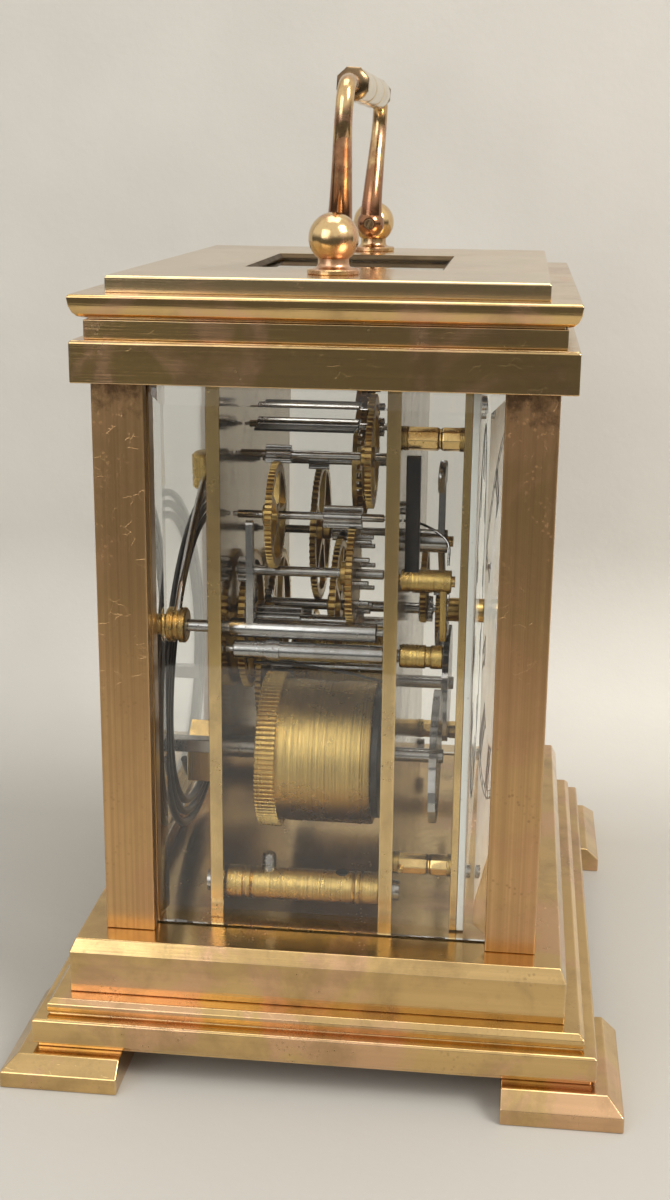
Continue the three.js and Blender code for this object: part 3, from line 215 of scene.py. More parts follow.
def edgeWearAndHighlightGroup():
    # Where a rounded normal leaves the true one, an edge is painted bright: partly rubbed by handling, partly a
    # painted highlight of the lamps on the bevels
    tree, given, made = makeGroup("edgeWearAndHighlight", {"Width": 0.0006}, ("Mask",))
    rounded = put(tree, "ShaderNodeBevel", {"Radius": given["Width"]}, samples=4)
    surface = put(tree, "ShaderNodeNewGeometry")
    dot = put(tree, "ShaderNodeVectorMath", {0: rounded.outputs["Normal"], 1: surface.outputs["Normal"]},
              operation="DOT_PRODUCT")
    worn = mapRange(tree, dot.outputs["Value"], 0.99, 0.86)
    patchy = mapRange(tree, noise(tree, objectPoint(tree), 180.0, 4, 0.6), 0.3, 0.6, 0.35, 1.0)
    feed(tree, made, {"Mask": times(tree, worn, patchy, True)})
    return tree


def spotGroup():
    # Small dark spots and hair scratches
    tree, given, made = makeGroup("spotsAndScratches", {"Amount": 0.5, "Size": 900.0}, ("Spots", "Scratches"))
    point = objectPoint(tree)
    dots = put(tree, "ShaderNodeTexVoronoi", {"Vector": point, "Scale": given["Size"]}, feature="F1")
    close = mapRange(tree, dots.outputs["Distance"], 0.34, 0.16)
    where = mapRange(tree, noise(tree, point, 110.0, 3, 0.6), 0.52, 0.66)
    curl = put(tree, "ShaderNodeTexNoise", {"Vector": point, "Scale": 240.0, "Detail": 1.0})
    curled = put(tree, "ShaderNodeVectorMath", {0: curl.outputs["Color"], 1: (0.004, 0.004, 0.004), 2: point},
                 operation="MULTIPLY_ADD")
    stretched = mapped(tree, curled.outputs[0], scale=(520.0, 330.0, 430.0), rotation=(0.4, 0.7, 0.2))
    hair = put(tree, "ShaderNodeTexVoronoi", {"Vector": stretched, "Scale": 1.0}, feature="DISTANCE_TO_EDGE")
    thin = mapRange(tree, hair.outputs["Distance"], 0.018, 0.002)
    broken = times(tree, mapRange(tree, noise(tree, point, 330.0, 2, 0.5), 0.54, 0.60),
                   mapRange(tree, noise(tree, point, 60.0, 2, 0.5), 0.46, 0.56))
    feed(tree, made, {"Spots": times(tree, times(tree, close, where), given["Amount"]),
                      "Scratches": times(tree, times(tree, thin, broken), given["Amount"])})
    return tree


def levelStainGroup():
    # An uneven stain that is full at one height and gone at another
    tree, given, made = makeGroup("levelStain", {"Full": 0.13, "Gone": 0.12, "Ragged": 0.5}, ("Mask",))
    point = objectPoint(tree)
    height = put(tree, "ShaderNodeSeparateXYZ", {0: point}).outputs["Z"]
    slope = mapRange(tree, height, given["Gone"], given["Full"], clamp=False)
    rough = mapRange(tree, noise(tree, point, 420.0, 5, 0.65), 0.3, 0.7, -1.0, 1.0)
    feed(tree, made, {"Mask": maths(tree, "ADD", slope, times(tree, rough, given["Ragged"]), True)})
    return tree


agedMetal = agedMetalGroup()
brushedGrain = grainGroup()
edgeWearAndHighlight = edgeWearAndHighlightGroup()
spotsAndScratches = spotGroup()
levelStain = levelStainGroup()

# Finishes

brassTones = {"clean": (0.69, 0.47, 0.2, 1), "pink": (0.72, 0.42, 0.27, 1), "brown": (0.3, 0.2, 0.09, 1)}
metalDefaults = {"streak": 0.25, "pinkAmount": 0.3, "brownAmount": 0.4, "patches": 90.0, "dull": 0.12, "waves": 0.2,
                 "depth": 0.0002, "spots": 0.5, "coat": 0.0, "edge": 0.0}
# Each finish's worn colour marks scratches and bright edges; its whitish lightness on the edges is partly a painted
# highlight of the lamps
metalFinishes = {
    "polishedBrass": {**brassTones, "pinkAmount": 0.6, "brownAmount": 0.5, "patches": 42.0, "roughness": 0.17,
        "stretch": (70.0, 70.0, 2600.0), "waves": 0.5, "bump": 0.22, "depth": 0.0003, "coat": 0.2, "edge": 0.0004,
        "worn": (0.9, 0.76, 0.52, 1)},
    # A lighter copy of the case brass for the top plate: its paler clean tone is a painted reflection of the pale
    # wall
    "topBrass": {**brassTones, "clean": (0.76, 0.58, 0.32, 1), "brownAmount": 0.25, "patches": 40.0,
        "roughness": 0.17, "dull": 0.1, "stretch": (70.0, 70.0, 2600.0), "waves": 0.4, "bump": 0.14,
        "depth": 0.0003, "spots": 0.4, "coat": 0.2, "edge": 0.0004, "worn": (0.92, 0.8, 0.58, 1)},
    "pillarBrass": {"clean": (0.6, 0.375, 0.17, 1), "pink": (0.6, 0.32, 0.18, 1), "brown": (0.38, 0.22, 0.1, 1),
        "pinkAmount": 0.45, "brownAmount": 0.35, "patches": 30.0, "roughness": 0.28, "dull": 0.1,
        "stretch": (8000.0, 8000.0, 25.0), "waves": 0.05, "bump": 0.4, "streak": 0.55, "spots": 1.0, "coat": 0.1,
        "edge": 0.0005, "worn": (0.72, 0.5, 0.27, 1), "stain": (0.1365, 0.1305, 0.8),
        "stainTone": (0.15, 0.085, 0.045, 1)},
    "plateBrass": {"clean": (0.86, 0.6, 0.25, 1), "pink": (0.58, 0.35, 0.18, 1), "brown": (0.28, 0.18, 0.07, 1),
        "pinkAmount": 0.2, "patches": 50.0, "roughness": 0.22, "stretch": (2600.0, 2600.0, 40.0), "bump": 0.16,
        "spots": 0.4, "edge": 0.0004, "worn": (0.9, 0.72, 0.4, 1)},
    "turnedBrass": {"clean": (0.64, 0.45, 0.15, 1), "pink": (0.56, 0.36, 0.15, 1), "brown": (0.32, 0.21, 0.08, 1),
        "pinkAmount": 0.2, "brownAmount": 0.3, "patches": 60.0, "roughness": 0.26, "dull": 0.1,
        "stretch": (14.0, 17000.0, 14.0), "waves": 0.0, "bump": 0.7, "streak": 0.7, "spots": 0.0,
        "worn": (0.9, 0.7, 0.35, 1)},
    "wheelBrass": {"clean": (0.54, 0.36, 0.12, 1), "pink": (0.44, 0.27, 0.12, 1), "brown": (0.2, 0.13, 0.05, 1),
        "brownAmount": 0.5, "roughness": 0.28, "dull": 0.14, "stretch": (1800.0, 1800.0, 1800.0), "waves": 0.0,
        "bump": 0.1, "depth": 0.0001, "worn": (0.9, 0.7, 0.35, 1)},
    "steel": {"clean": (0.5, 0.49, 0.48, 1), "pink": (0.4, 0.36, 0.32, 1), "brown": (0.2, 0.16, 0.12, 1),
        "roughness": 0.2, "dull": 0.14, "stretch": (30.0, 1400.0, 30.0), "waves": 0.1, "bump": 0.16,
        "depth": 0.0001, "spots": 0.6, "worn": (0.8, 0.8, 0.8, 1)},
    "darkSteel": {"clean": (0.045, 0.043, 0.042, 1), "pink": (0.06, 0.055, 0.05, 1),
        "brown": (0.08, 0.06, 0.045, 1), "pinkAmount": 0.4, "patches": 120.0, "roughness": 0.34, "dull": 0.14,
        "stretch": (700.0, 700.0, 700.0), "bump": 0.2, "depth": 0.0001, "spots": 0.3, "coat": 0.15,
        "worn": (0.3, 0.3, 0.32, 1)},
    "bluedSteel": {"clean": (0.015, 0.03, 0.16, 1), "pink": (0.04, 0.03, 0.18, 1), "brown": (0.03, 0.02, 0.07, 1),
        "pinkAmount": 0.6, "brownAmount": 0.3, "roughness": 0.2, "dull": 0.06, "stretch": (900.0, 900.0, 900.0),
        "waves": 0.1, "bump": 0.08, "depth": 0.0001, "spots": 0.1, "coat": 0.3, "worn": (0.3, 0.35, 0.6, 1)},
    "gripBrass": {"clean": (0.82, 0.72, 0.52, 1), "pink": (0.78, 0.58, 0.4, 1), "brown": (0.42, 0.3, 0.17, 1),
        "brownAmount": 0.3, "patches": 110.0, "roughness": 0.18, "stretch": (900.0, 60.0, 60.0), "waves": 0.1,
        "bump": 0.12, "coat": 0.2, "worn": (0.95, 0.9, 0.75, 1)},
    "handleBrass": {"clean": (0.74, 0.53, 0.26, 1), "pink": (0.66, 0.38, 0.24, 1), "brown": (0.33, 0.16, 0.07, 1),
        "pinkAmount": 0.85, "brownAmount": 0.6, "patches": 110.0, "roughness": 0.16, "dull": 0.16,
        "stretch": (300.0, 300.0, 60.0), "waves": 0.3, "bump": 0.1, "depth": 0.0003, "spots": 0.6, "coat": 0.2,
        "worn": (0.95, 0.8, 0.5, 1)},
    "collarBrass": {"clean": (0.22, 0.15, 0.08, 1), "pink": (0.26, 0.15, 0.08, 1), "brown": (0.1, 0.06, 0.035, 1),
        "pinkAmount": 0.4, "brownAmount": 0.5, "patches": 160.0, "roughness": 0.24,
        "stretch": (500.0, 500.0, 500.0), "bump": 0.1, "depth": 0.0001, "spots": 0.4, "coat": 0.1, "edge": 0.0003,
        "worn": (0.6, 0.45, 0.25, 1)},
    "shadedBrass": {"clean": (0.1, 0.07, 0.04, 1), "pink": (0.12, 0.07, 0.04, 1), "brown": (0.05, 0.035, 0.02, 1),
        "pinkAmount": 0.4, "brownAmount": 0.6, "patches": 80.0, "roughness": 0.5, "dull": 0.2,
        "stretch": (70.0, 70.0, 1800.0), "bump": 0.3, "spots": 0.4, "worn": (0.3, 0.2, 0.1, 1)},
}
# Painted shade: the faces of the movement plates get a much darker copy of the plate brass, standing for the shade
# inside the case; the edges keep the lighter copy
metalFinishes["shadedPlateFace"] = {**metalFinishes["plateBrass"], "clean": (0.25, 0.16, 0.05, 1),
                              "pink": (0.22, 0.13, 0.055, 1), "brown": (0.12, 0.075, 0.03, 1), "roughness": 0.14}
metalFinishes["armBrass"] = {**metalFinishes["handleBrass"], "stain": (0.171, 0.184, 0.5),
                             "stainTone": (0.26, 0.10, 0.05, 1)}
finishes = {}


def makeMetal(name, s):
    material, tree, shader = makeMaterial(name)
    aged = put(tree, "ShaderNodeGroup", {
        "Clean": s["clean"], "Pink": s["pink"], "Brown": s["brown"], "Patches": s["patches"],
        "Pink Amount": s["pinkAmount"], "Brown Amount": s["brownAmount"]}, node_tree=agedMetal)
    grain = put(tree, "ShaderNodeGroup", {"Stretch": s["stretch"], "Waves": s["waves"]}, node_tree=brushedGrain)
    marks = put(tree, "ShaderNodeGroup", {"Amount": s["spots"]}, node_tree=spotsAndScratches)
    spots, scratches = marks.outputs["Spots"], marks.outputs["Scratches"]
    colour = mixColour(tree, times(tree, grain.outputs["Streak"], s["streak"]), aged.outputs["Color"], s["brown"])
    colour = mixColour(tree, times(tree, spots, 0.75), colour, s["brown"])
    if "stain" in s:
        levels = dict(zip(("Full", "Gone", "Ragged"), s["stain"]))
        stain = put(tree, "ShaderNodeGroup", levels, node_tree=levelStain)
        colour = mixColour(tree, times(tree, stain.outputs["Mask"], 0.85), colour, s["stainTone"])
    colour = mixColour(tree, times(tree, scratches, 0.16), colour, s["worn"])
    # Edges take the worn colour: partly real wear, partly a painted highlight of the lamps
    if s["edge"]:
        wearAndHighlight = put(tree, "ShaderNodeGroup", {"Width": s["edge"]}, node_tree=edgeWearAndHighlight)
        colour = mixColour(tree, wearAndHighlight.outputs["Mask"], colour, s["worn"])
    rough = put(tree, "ShaderNodeMath", {0: aged.outputs["Tarnish"], 1: s["dull"], 2: s["roughness"]},
                operation="MULTIPLY_ADD").outputs["Value"]
    feed(tree, shader, {"Metallic": 1.0, "Coat Weight": s["coat"], "Coat Roughness": 0.08, "Base Color": colour,
                        "Roughness": maths(tree, "ADD", rough, times(tree, spots, 0.2), True)})
    height = maths(tree, "SUBTRACT", grain.outputs["Height"], times(tree, scratches, 0.22))
    addBump(tree, shader, height, s["bump"], s["depth"])
    return material


for finishName, finishSettings in metalFinishes.items():
    finishes[finishName] = makeMetal(finishName, {**metalDefaults, **finishSettings})

glassSettings = {"tint": (0.97, 0.985, 0.98, 1), "shadow": (0.94, 0.96, 0.95, 1), "ior": 1.5, "smears": 0.05}


def makeGlass(name, s):
    material, tree, shader = makeMaterial(name)
    smears = mapRange(tree, noise(tree, objectPoint(tree), 60.0, 5, 0.65, 0.5), 0.55, 0.8, 0.0, s["smears"])
    feed(tree, shader, {"Base Color": s["tint"], "Transmission Weight": 1.0, "IOR": s["ior"], "Roughness": smears})
    light = put(tree, "ShaderNodeLightPath")
    mixShaders(tree, light.outputs["Is Shadow Ray"], shader, put(tree, "ShaderNodeBsdfTransparent",
                                                                 {"Color": s["shadow"]}))
    return material


enamels = {
    "enamel": {"colour": (0.86, 0.85, 0.80, 1), "roughness": 0.12, "specks": 0.4},
    "paintedBlack": {"colour": (0.012, 0.012, 0.014, 1), "roughness": 0.25, "specks": 0.0},
    "ruby": {"colour": (0.35, 0.01, 0.03, 1), "roughness": 0.08, "specks": 0.0},
}
yellowing = (0.94, 0.9, 0.8, 1)


def makeEnamel(name, s):
    material, tree, shader = makeMaterial(name)
    point = objectPoint(tree)
    yellowed = mapRange(tree, noise(tree, point, 30.0, 5, 0.6), 0.4, 0.75, 0.0, 0.35)
    dots = mapRange(tree, noise(tree, point, 1500.0, 2, 0.5), 0.68, 0.75, 0.0, s["specks"])
    shade = mixColour(tree, yellowed, s["colour"], tuple(c * k for c, k in zip(s["colour"], yellowing)))
    feed(tree, shader, {
        "Coat Weight": 0.5, "Coat Roughness": 0.05, "Base Color": mixColour(tree, dots, shade, (0.2, 0.17, 0.12, 1)),
        "Roughness": mapRange(tree, noise(tree, point, 90.0, 3), 0.3, 0.7, s["roughness"], s["roughness"] + 0.12)})
    addBump(tree, shader, noise(tree, point, 220.0, 3), 0.08, 0.0003)
    return material


finishes["clearGlass"] = makeGlass("clearGlass", glassSettings)
for enamelName, enamelSettings in enamels.items():
    finishes[enamelName] = makeEnamel(enamelName, enamelSettings)
print("finishes made:", len(finishes))

# Mesh building


class Piece:
    # Gathers closed shells in millimetres and makes one object of them

    def __init__(self, name):
        self.name, self.points, self.faces, self.slots, self.used = name, [], [], [], []

    def add(self, points, faces, finish):
        if finish not in self.used:
            self.used.append(finish)
        first = len(self.points)
        self.points += [tuple(p) for p in points]
        self.faces += [tuple(first + i for i in face) for face in faces]
        self.slots += [self.used.index(finish)] * len(faces)

    def make(self, sharp=32, bevel=0.0, segments=2):
        mesh = bpy.data.meshes.new(self.name)
        mesh.from_pydata([Vector(p) * millimetre for p in self.points], [], self.faces)
        for finish in self.used:
            mesh.materials.append(finishes[finish])
        mesh.polygons.foreach_set("material_index", self.slots)
        return finishObject(self.name, mesh, sharp, bevel, segments)


def finishObject(name, mesh, sharp, bevel, segments):
    mesh.validate()
    mesh.polygons.foreach_set("use_smooth", [True] * len(mesh.polygons))
    mesh.set_sharp_from_angle(angle=math.radians(sharp))
    made = bpy.data.objects.new(name, mesh)
    bpy.context.scene.collection.objects.link(made)
    if bevel:
        edge = made.modifiers.new("softEdges", "BEVEL")
        edge.width = bevel * millimetre
        edge.segments = segments
        edge.limit_method = "ANGLE"
        edge.angle_limit = math.radians(28)
        edge.harden_normals = True
        edge.use_clamp_overlap = True
    return made


def settle(made, nodes, body=None):
    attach(made, body or frame["nodes"][nodes[0]]["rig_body"])
    if nodes:
        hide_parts(*nodes)
    return made


axes = {
    "x": lambda centre, r, t, a: (centre[0] + t, centre[1] + r * math.cos(a), centre[2] + r * math.sin(a)),
    "y": lambda centre, r, t, a: (centre[0] + r * math.sin(a), centre[1] + t, centre[2] + r * math.cos(a)),
    "z": lambda centre, r, t, a: (centre[0] + r * math.cos(a), centre[1] + r * math.sin(a), centre[2] + t),
}


def lathe(piece, axis, centre, profile, finish, sides=40, ring=False, phase=0.0):
    # The profile is (radius, distance along the axis), in rising order of distance on its outside
    points, loops = [], []
    for r, t in profile:
        if r < 1e-6:
            loops.append([len(points)])
            points.append(axes[axis](centre, 0, t, 0))
        else:
            loops.append(list(range(len(points), len(points) + sides)))
            points += [axes[axis](centre, r, t, phase + turn * k / sides) for k in range(sides)]
    faces = []
    pairs = list(zip(loops, loops[1:] + ([loops[0]] if ring else [])))
    for low, high in pairs[:len(loops) if ring else len(loops) - 1]:
        for k in range(sides):
            n = (k + 1) % sides
            if len(low) == 1 and len(high) > 1:
                faces.append((low[0], high[n], high[k]))
            elif len(high) == 1 and len(low) > 1:
                faces.append((low[k], low[n], high[0]))
            elif len(low) > 1:
                faces.append((low[k], low[n], high[n], high[k]))
    piece.add(points, faces, finish)


def turned(piece, axis, centre, profile, finish, sides=40, phase=0.0):
    full = [(0, profile[0][1])] + list(profile) + [(0, profile[-1][1])]
    lathe(piece, axis, centre, full, finish, sides, False, phase)


def tube(piece, path, radii, finish, sides=12, across=Vector((0, 1, 0))):
    # A round bar along a path, closed at both ends
    points, faces = [], []
    path = [Vector(p) for p in path]
    side = across.copy()
    for i, centre in enumerate(path):
        ahead = (path[min(i + 1, len(path) - 1)] - path[max(i - 1, 0)]).normalized()
        side = (side - ahead * side.dot(ahead)).normalized()
        other = ahead.cross(side)
        r = radii[i] if isinstance(radii, (list, tuple)) else radii
        points += [centre + side * r * math.cos(turn * k / sides) + other * r * math.sin(turn * k / sides)
                   for k in range(sides)]
    for i in range(len(path) - 1):
        for k in range(sides):
            a, b = i * sides + k, i * sides + (k + 1) % sides
            faces.append((a, b, b + sides, a + sides))
    faces.append(tuple(reversed(range(sides))))
    faces.append(tuple(range((len(path) - 1) * sides, len(path) * sides)))
    piece.add(points, faces, finish)


def prism(piece, axis, outline, low, high, finish):
    # A flat plate: the outline is in the two directions across the axis
    def at(p, t):
        return {"y": (p[0], t, p[1]), "z": (p[0], p[1], t), "x": (t, p[0], p[1])}[axis]
    count = len(outline)
    area = sum(a[0] * b[1] - b[0] * a[1] for a, b in zip(outline, outline[1:] + outline[:1]))
    if (area > 0) == (axis == "y"):
        outline = outline[::-1]
    points = [at(p, low) for p in outline] + [at(p, high) for p in outline]
    faces = [tuple(reversed(range(count))), tuple(range(count, 2 * count))]
    faces += [(k, (k + 1) % count, count + (k + 1) % count, count + k) for k in range(count)]
    piece.add(points, faces, finish)


def polar(centre, radius, angle):
    return (centre[0] + radius * math.cos(angle), centre[1] + radius * math.sin(angle))


def addBars(piece, axis, centre, count, first, ends, halves, low, high, finish):
    # Flat bars round a centre, between two radii, with their half width at each
    for k in range(count):
        angle = first + turn * k / count
        outline = [polar(polar(centre, ends[0], angle), w, angle + math.pi / 2) for w in (-halves[0], halves[0])]
        outline += [polar(polar(centre, ends[1], angle), w, angle + math.pi / 2) for w in (halves[1], -halves[1])]
        prism(piece, axis, outline, low, high, finish)


def curveThrough(points, steps):
    # Catmull-Rom through the points
    full = [Vector(points[0]) * 2 - Vector(points[1])] + [Vector(p) for p in points]
    full.append(Vector(points[-1]) * 2 - Vector(points[-2]))
    made = []
    for i in range(1, len(full) - 2):
        a, b, c, d = full[i - 1:i + 3]
        for k in range(steps):
            t = k / steps
            made.append(0.5 * ((2 * b) + (c - a) * t + (2 * a - 5 * b + 4 * c - d) * t * t
                               + (3 * b - a - 3 * c + d) * t ** 3))
    made.append(full[-2])
    return made


def fineCopy(node, finish, bevel=0.0, sharp=30, segments=2, second=None, chosen=None):
    # The CAD shape with its loose triangles merged and its edges softened; the chosen faces
    # have a second finish
    mesh = frame["nodes"][node].data.copy()
    mesh.name = node + "Fine"
    work = bmesh.new()
    work.from_mesh(mesh)
    bmesh.ops.remove_doubles(work, verts=work.verts, dist=2e-6)
    bmesh.ops.dissolve_limit(work, angle_limit=math.radians(0.6), verts=work.verts, edges=work.edges)
    work.to_mesh(mesh)
    work.free()
    mesh.materials.clear()
    mesh.materials.append(finishes[finish])
    slots = [0] * len(mesh.polygons)
    if second:
        mesh.materials.append(finishes[second])
        slots = [int(chosen(p)) for p in mesh.polygons]
    mesh.polygons.foreach_set("material_index", slots)
    return finishObject(node + "Fine", mesh, sharp, bevel, segments)


# Repeats by Geometry Nodes


def nodeTree(name, inputs):
    tree = bpy.data.node_groups.new(name, "GeometryNodeTree")
    sockets = {}
    for label, kind in inputs.items():
        socket = tree.interface.new_socket(name=label, in_out="INPUT", socket_type="NodeSocket" + kind)
        sockets[label] = socket.identifier
    tree.interface.new_socket(name="Geometry", in_out="OUTPUT", socket_type="NodeSocketGeometry")
    return tree, sockets, tree.nodes.new("NodeGroupInput").outputs


def closeTree(tree, given, geometry):
    realized = put(tree, "GeometryNodeRealizeInstances", {0: geometry}).outputs[0]
    painted = put(tree, "GeometryNodeSetMaterial", {"Geometry": realized, "Material": given["Finish"]})
    put(tree, "NodeGroupOutput", {0: painted.outputs[0]})


def shapeCopies(tree, given, points, rotation):
    shape = put(tree, "GeometryNodeObjectInfo", {"Object": given["Shape"]}).outputs["Geometry"]
    return put(tree, "GeometryNodeInstanceOnPoints", {
        "Points": points, "Instance": shape, "Rotation": rotation, "Scale": given["Scale"]}).outputs[0]


def ringTree():
    # Copies of one shape round an arbor that lies along Y
    tree, sockets, given = nodeTree("aroundArbor", {
        "Shape": "Object", "Count": "Int", "Radius": "Float", "Phase": "Float", "Centre": "Vector",
        "Scale": "Vector", "Finish": "Material"})
    index = put(tree, "GeometryNodeInputIndex").outputs[0]
    angle = maths(tree, "ADD", times(tree, index, maths(tree, "DIVIDE", turn, given["Count"])), given["Phase"])
    place = put(tree, "ShaderNodeCombineXYZ", {"X": times(tree, maths(tree, "COSINE", angle, 0.0), given["Radius"]),
                                               "Z": times(tree, maths(tree, "SINE", angle, 0.0), given["Radius"])})
    shifted = put(tree, "ShaderNodeVectorMath", {0: place.outputs[0], 1: given["Centre"]}).outputs[0]
    points = put(tree, "GeometryNodePoints", {"Count": given["Count"], "Position": shifted}).outputs[0]
    facing = put(tree, "ShaderNodeCombineXYZ", {"Y": times(tree, angle, -1.0)}).outputs[0]
    closeTree(tree, given, shapeCopies(tree, given, points, facing))
    return tree, sockets


def scatterTree():
    # Copies of one shape on the vertices of a mesh, each with its own turn about its axis
    tree, sockets, given = nodeTree("onPoints", {
        "Places": "Geometry", "Shape": "Object", "Facing": "Vector", "Scale": "Float", "Seed": "Int",
        "Finish": "Material"})
    spin = put(tree, "FunctionNodeRandomValue", {2: 0.0, 3: math.pi, "Seed": given["Seed"]}, data_type="FLOAT")
    local = put(tree, "ShaderNodeCombineXYZ", {"Z": spin.outputs[1]}).outputs[0]
    turned = put(tree, "GeometryNodeRotateInstances", {
        "Instances": shapeCopies(tree, given, given["Places"], given["Facing"]), "Rotation": local,
        "Local Space": True})
    closeTree(tree, given, turned.outputs[0])
    return tree, sockets


aroundArbor, arborSockets = ringTree()
onPoints, pointSockets = scatterTree()


def evaluated(tree, sockets, values, base=()):
    # Runs a tree on a throwaway object; returns its points in millimetres and its faces
    mesh = bpy.data.meshes.new("work")
    mesh.from_pydata([Vector(p) * millimetre for p in base], [], [])
    holder = bpy.data.objects.new("work", mesh)
    bpy.context.scene.collection.objects.link(holder)
    modifier = holder.modifiers.new("repeat", "NODES")
    modifier.node_group = tree
    for label, value in values.items():
        modifier[sockets[label]] = value
    graph = bpy.context.evaluated_depsgraph_get()
    result = bpy.data.meshes.new_from_object(holder.evaluated_get(graph))
    points = [tuple(v.co / millimetre) for v in result.vertices]
    faces = [tuple(p.vertices) for p in result.polygons]
    bpy.data.objects.remove(holder)
    bpy.data.meshes.remove(result)
    return points, faces


def pattern(name, build):
    # A small shape that a tree repeats; it is taken away when all is made
    piece = Piece(name)
    build(piece)
    made = piece.make()
    made.hide_render = True
    return made


def unitTooth(piece):
    outline = [(-0.15, -0.5), (0.3, -0.42), (0.72, -0.3), (0.93, -0.14), (1.0, 0.0), (0.93, 0.14), (0.72, 0.3),
               (0.3, 0.42), (-0.15, 0.5)]
    prism(piece, "y", [(x * 1000, z * 1000) for x, z in outline], -500, 500, "wheelBrass")


def unitCrownTooth(piece):
    outline = [(-0.5, 0.1), (-0.42, -0.5), (-0.2, -0.92), (0.0, -1.0), (0.2, -0.92), (0.42, -0.5), (0.5, 0.1)]
    prism(piece, "x", [(y * 1000, z * 1000) for z, y in outline], -1000, 0, "wheelBrass")


def screwHead(piece):
    # One millimetre head radius, its slot cut by leaving the middle lower
    for side in (1, -1):
        arc = [polar((0, 0), 1.0, math.asin(0.14) + (math.pi - 2 * math.asin(0.14)) * k / 14) for k in range(15)]
        prism(piece, "z", [(x, side * y) for x, y in arc], 0.0, 0.5, "steel")
        inner = [(x * 0.93, side * y * 0.93 + side * 0.01) for x, y in arc]
        prism(piece, "z", inner, 0.45, 0.58, "steel")
    turned(piece, "z", (0, 0, 0), [(0.98, -0.1), (0.98, 0.22)], "steel", 24)


toothShape = pattern("toothShape", unitTooth)
crownToothShape = pattern("crownToothShape", unitCrownTooth)
screwShape = pattern("screwShape", screwHead)


def addRing(piece, shape, count, radius, phase, centre, scale, finish):
    points, faces = evaluated(aroundArbor, arborSockets, {
        "Shape": shape, "Count": count, "Radius": radius * millimetre, "Phase": phase,
        "Centre": [c * millimetre for c in centre], "Scale": [c * millimetre for c in scale],
        "Finish": finishes[finish]})
    piece.add(points, faces, finish)


facings = {"+x": (0, math.pi / 2, 0), "-x": (0, -math.pi / 2, 0), "+y": (-math.pi / 2, 0, 0),
           "-y": (math.pi / 2, 0, 0), "+z": (0, 0, 0), "-z": (math.pi, 0, 0)}


def addScrews(piece, places, facing, radius, finish="steel", seed=3):
    points, faces = evaluated(onPoints, pointSockets, {
        "Shape": screwShape, "Facing": list(facings[facing]), "Scale": float(radius), "Seed": seed,
        "Finish": finishes[finish]}, places)
    piece.add(points, faces, finish)


print("repeat trees made")

# Case


def boxOf(node):
    low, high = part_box(node)
    return [c / millimetre for c in low], [c / millimetre for c in high]


caseSettings = {
    "bevels": {"base_plinth": 0.25, "base_block": 0.3, "top_rim": 0.3, "top_cornice": 0.2, "top_plate": 0.25,
               "foot_front_left": 0.3, "foot_front_right": 0.3, "foot_back_left": 0.3, "foot_back_right": 0.3},
    "pillarBevel": 0.28,
    "plateBevel": 0.2,
}


def looksInward(face):
    return abs(face.normal.z) < 0.9 and face.normal.dot(face.center.xy.to_3d().normalized()) < -0.3


def looksAlongMovement(face):
    return abs(face.normal.y) > 0.9


for node, bevel in caseSettings["bevels"].items():
    # The top plate takes the lighter copy of the brass, a painted reflection of the wall
    finish = "topBrass" if node == "top_plate" else "polishedBrass"
    second = "shadedBrass" if node.startswith("top") else None
    settle(fineCopy(node, finish, bevel, 30, 3, second, looksInward), [node])
for corner in ("front_left", "front_right", "back_left", "back_right"):
    node = "pillar_" + corner
    settle(fineCopy(node, "pillarBrass", caseSettings["pillarBevel"], 30, 3), [node])
for node in ("side_glass_left", "side_glass_right", "front_glass", "top_glass", "door_glass"):
    settle(fineCopy(node, "clearGlass", 0.0, 4), [node])
settle(fineCopy("door_frame", "polishedBrass", 0.2), ["door_frame"])
print("case made")

# Handle

handleSettings = {
    "postX": 40.05, "pivotZ": 161.2, "top": 154.7, "ball": 4.68, "flange": 4.9, "neck": 2.9, "eye": 3.1,
    "eyeX": 31.97, "pin": 1.1, "arm": 1.65, "rise": 27.8, "lean": 3.3, "gripHalf": 26.0, "grip": 3.15,
    "ring": 8.6, "armSwell": 0.9, "swellShare": 0.55,
}


def makePosts(s):
    for side, sign in (("left", -1), ("right", 1)):
        piece = Piece("handlePost_" + side)
        top, ball, neck = s["top"], s["ball"], s["neck"]
        low = -math.acos(neck / ball)
        curve = [(ball * math.cos(low + (math.pi / 2 - 0.02 - low) * k / 22),
                  s["pivotZ"] + ball * math.sin(low + (math.pi / 2 - 0.02 - low) * k / 22)) for k in range(23)]
        profile = [(s["flange"] - 0.15, top), (s["flange"], top + 0.15), (s["flange"], top + 0.75),
                   (s["flange"] - 0.2, top + 0.98), (3.9, top + 1.05), (3.3, top + 1.2), (3.0, top + 1.5),
                   (neck, top + 1.9)] + curve
        turned(piece, "z", (sign * s["postX"], 0, 0), profile, "handleBrass", 64)
        made = piece.make(40)
        settle(made, ["handle_post_" + side])
        screw = Piece("handlePivot_" + side)
        inner = s["eyeX"] - s["eye"] - 0.05
        spans = [(s["pin"], inner + 0.3), (s["pin"], s["postX"])]
        turned(screw, "x", (0, 0, s["pivotZ"]), [(r, sign * x) for r, x in (spans if sign > 0 else spans[::-1])],
               "collarBrass", 24)
        addScrews(screw, [(sign * (inner + 0.28), 0, s["pivotZ"])], "-x" if sign > 0 else "+x", 1.05, "collarBrass")
        settle(screw.make(), [], "case")


def leanHandle(piece, s):
    angle = math.radians(s["lean"])
    pivot = Vector((0, 0, s["pivotZ"]))
    turnX = Matrix.Rotation(angle, 3, "X")
    piece.points = [tuple(turnX @ Vector(p) + pivot) for p in piece.points]


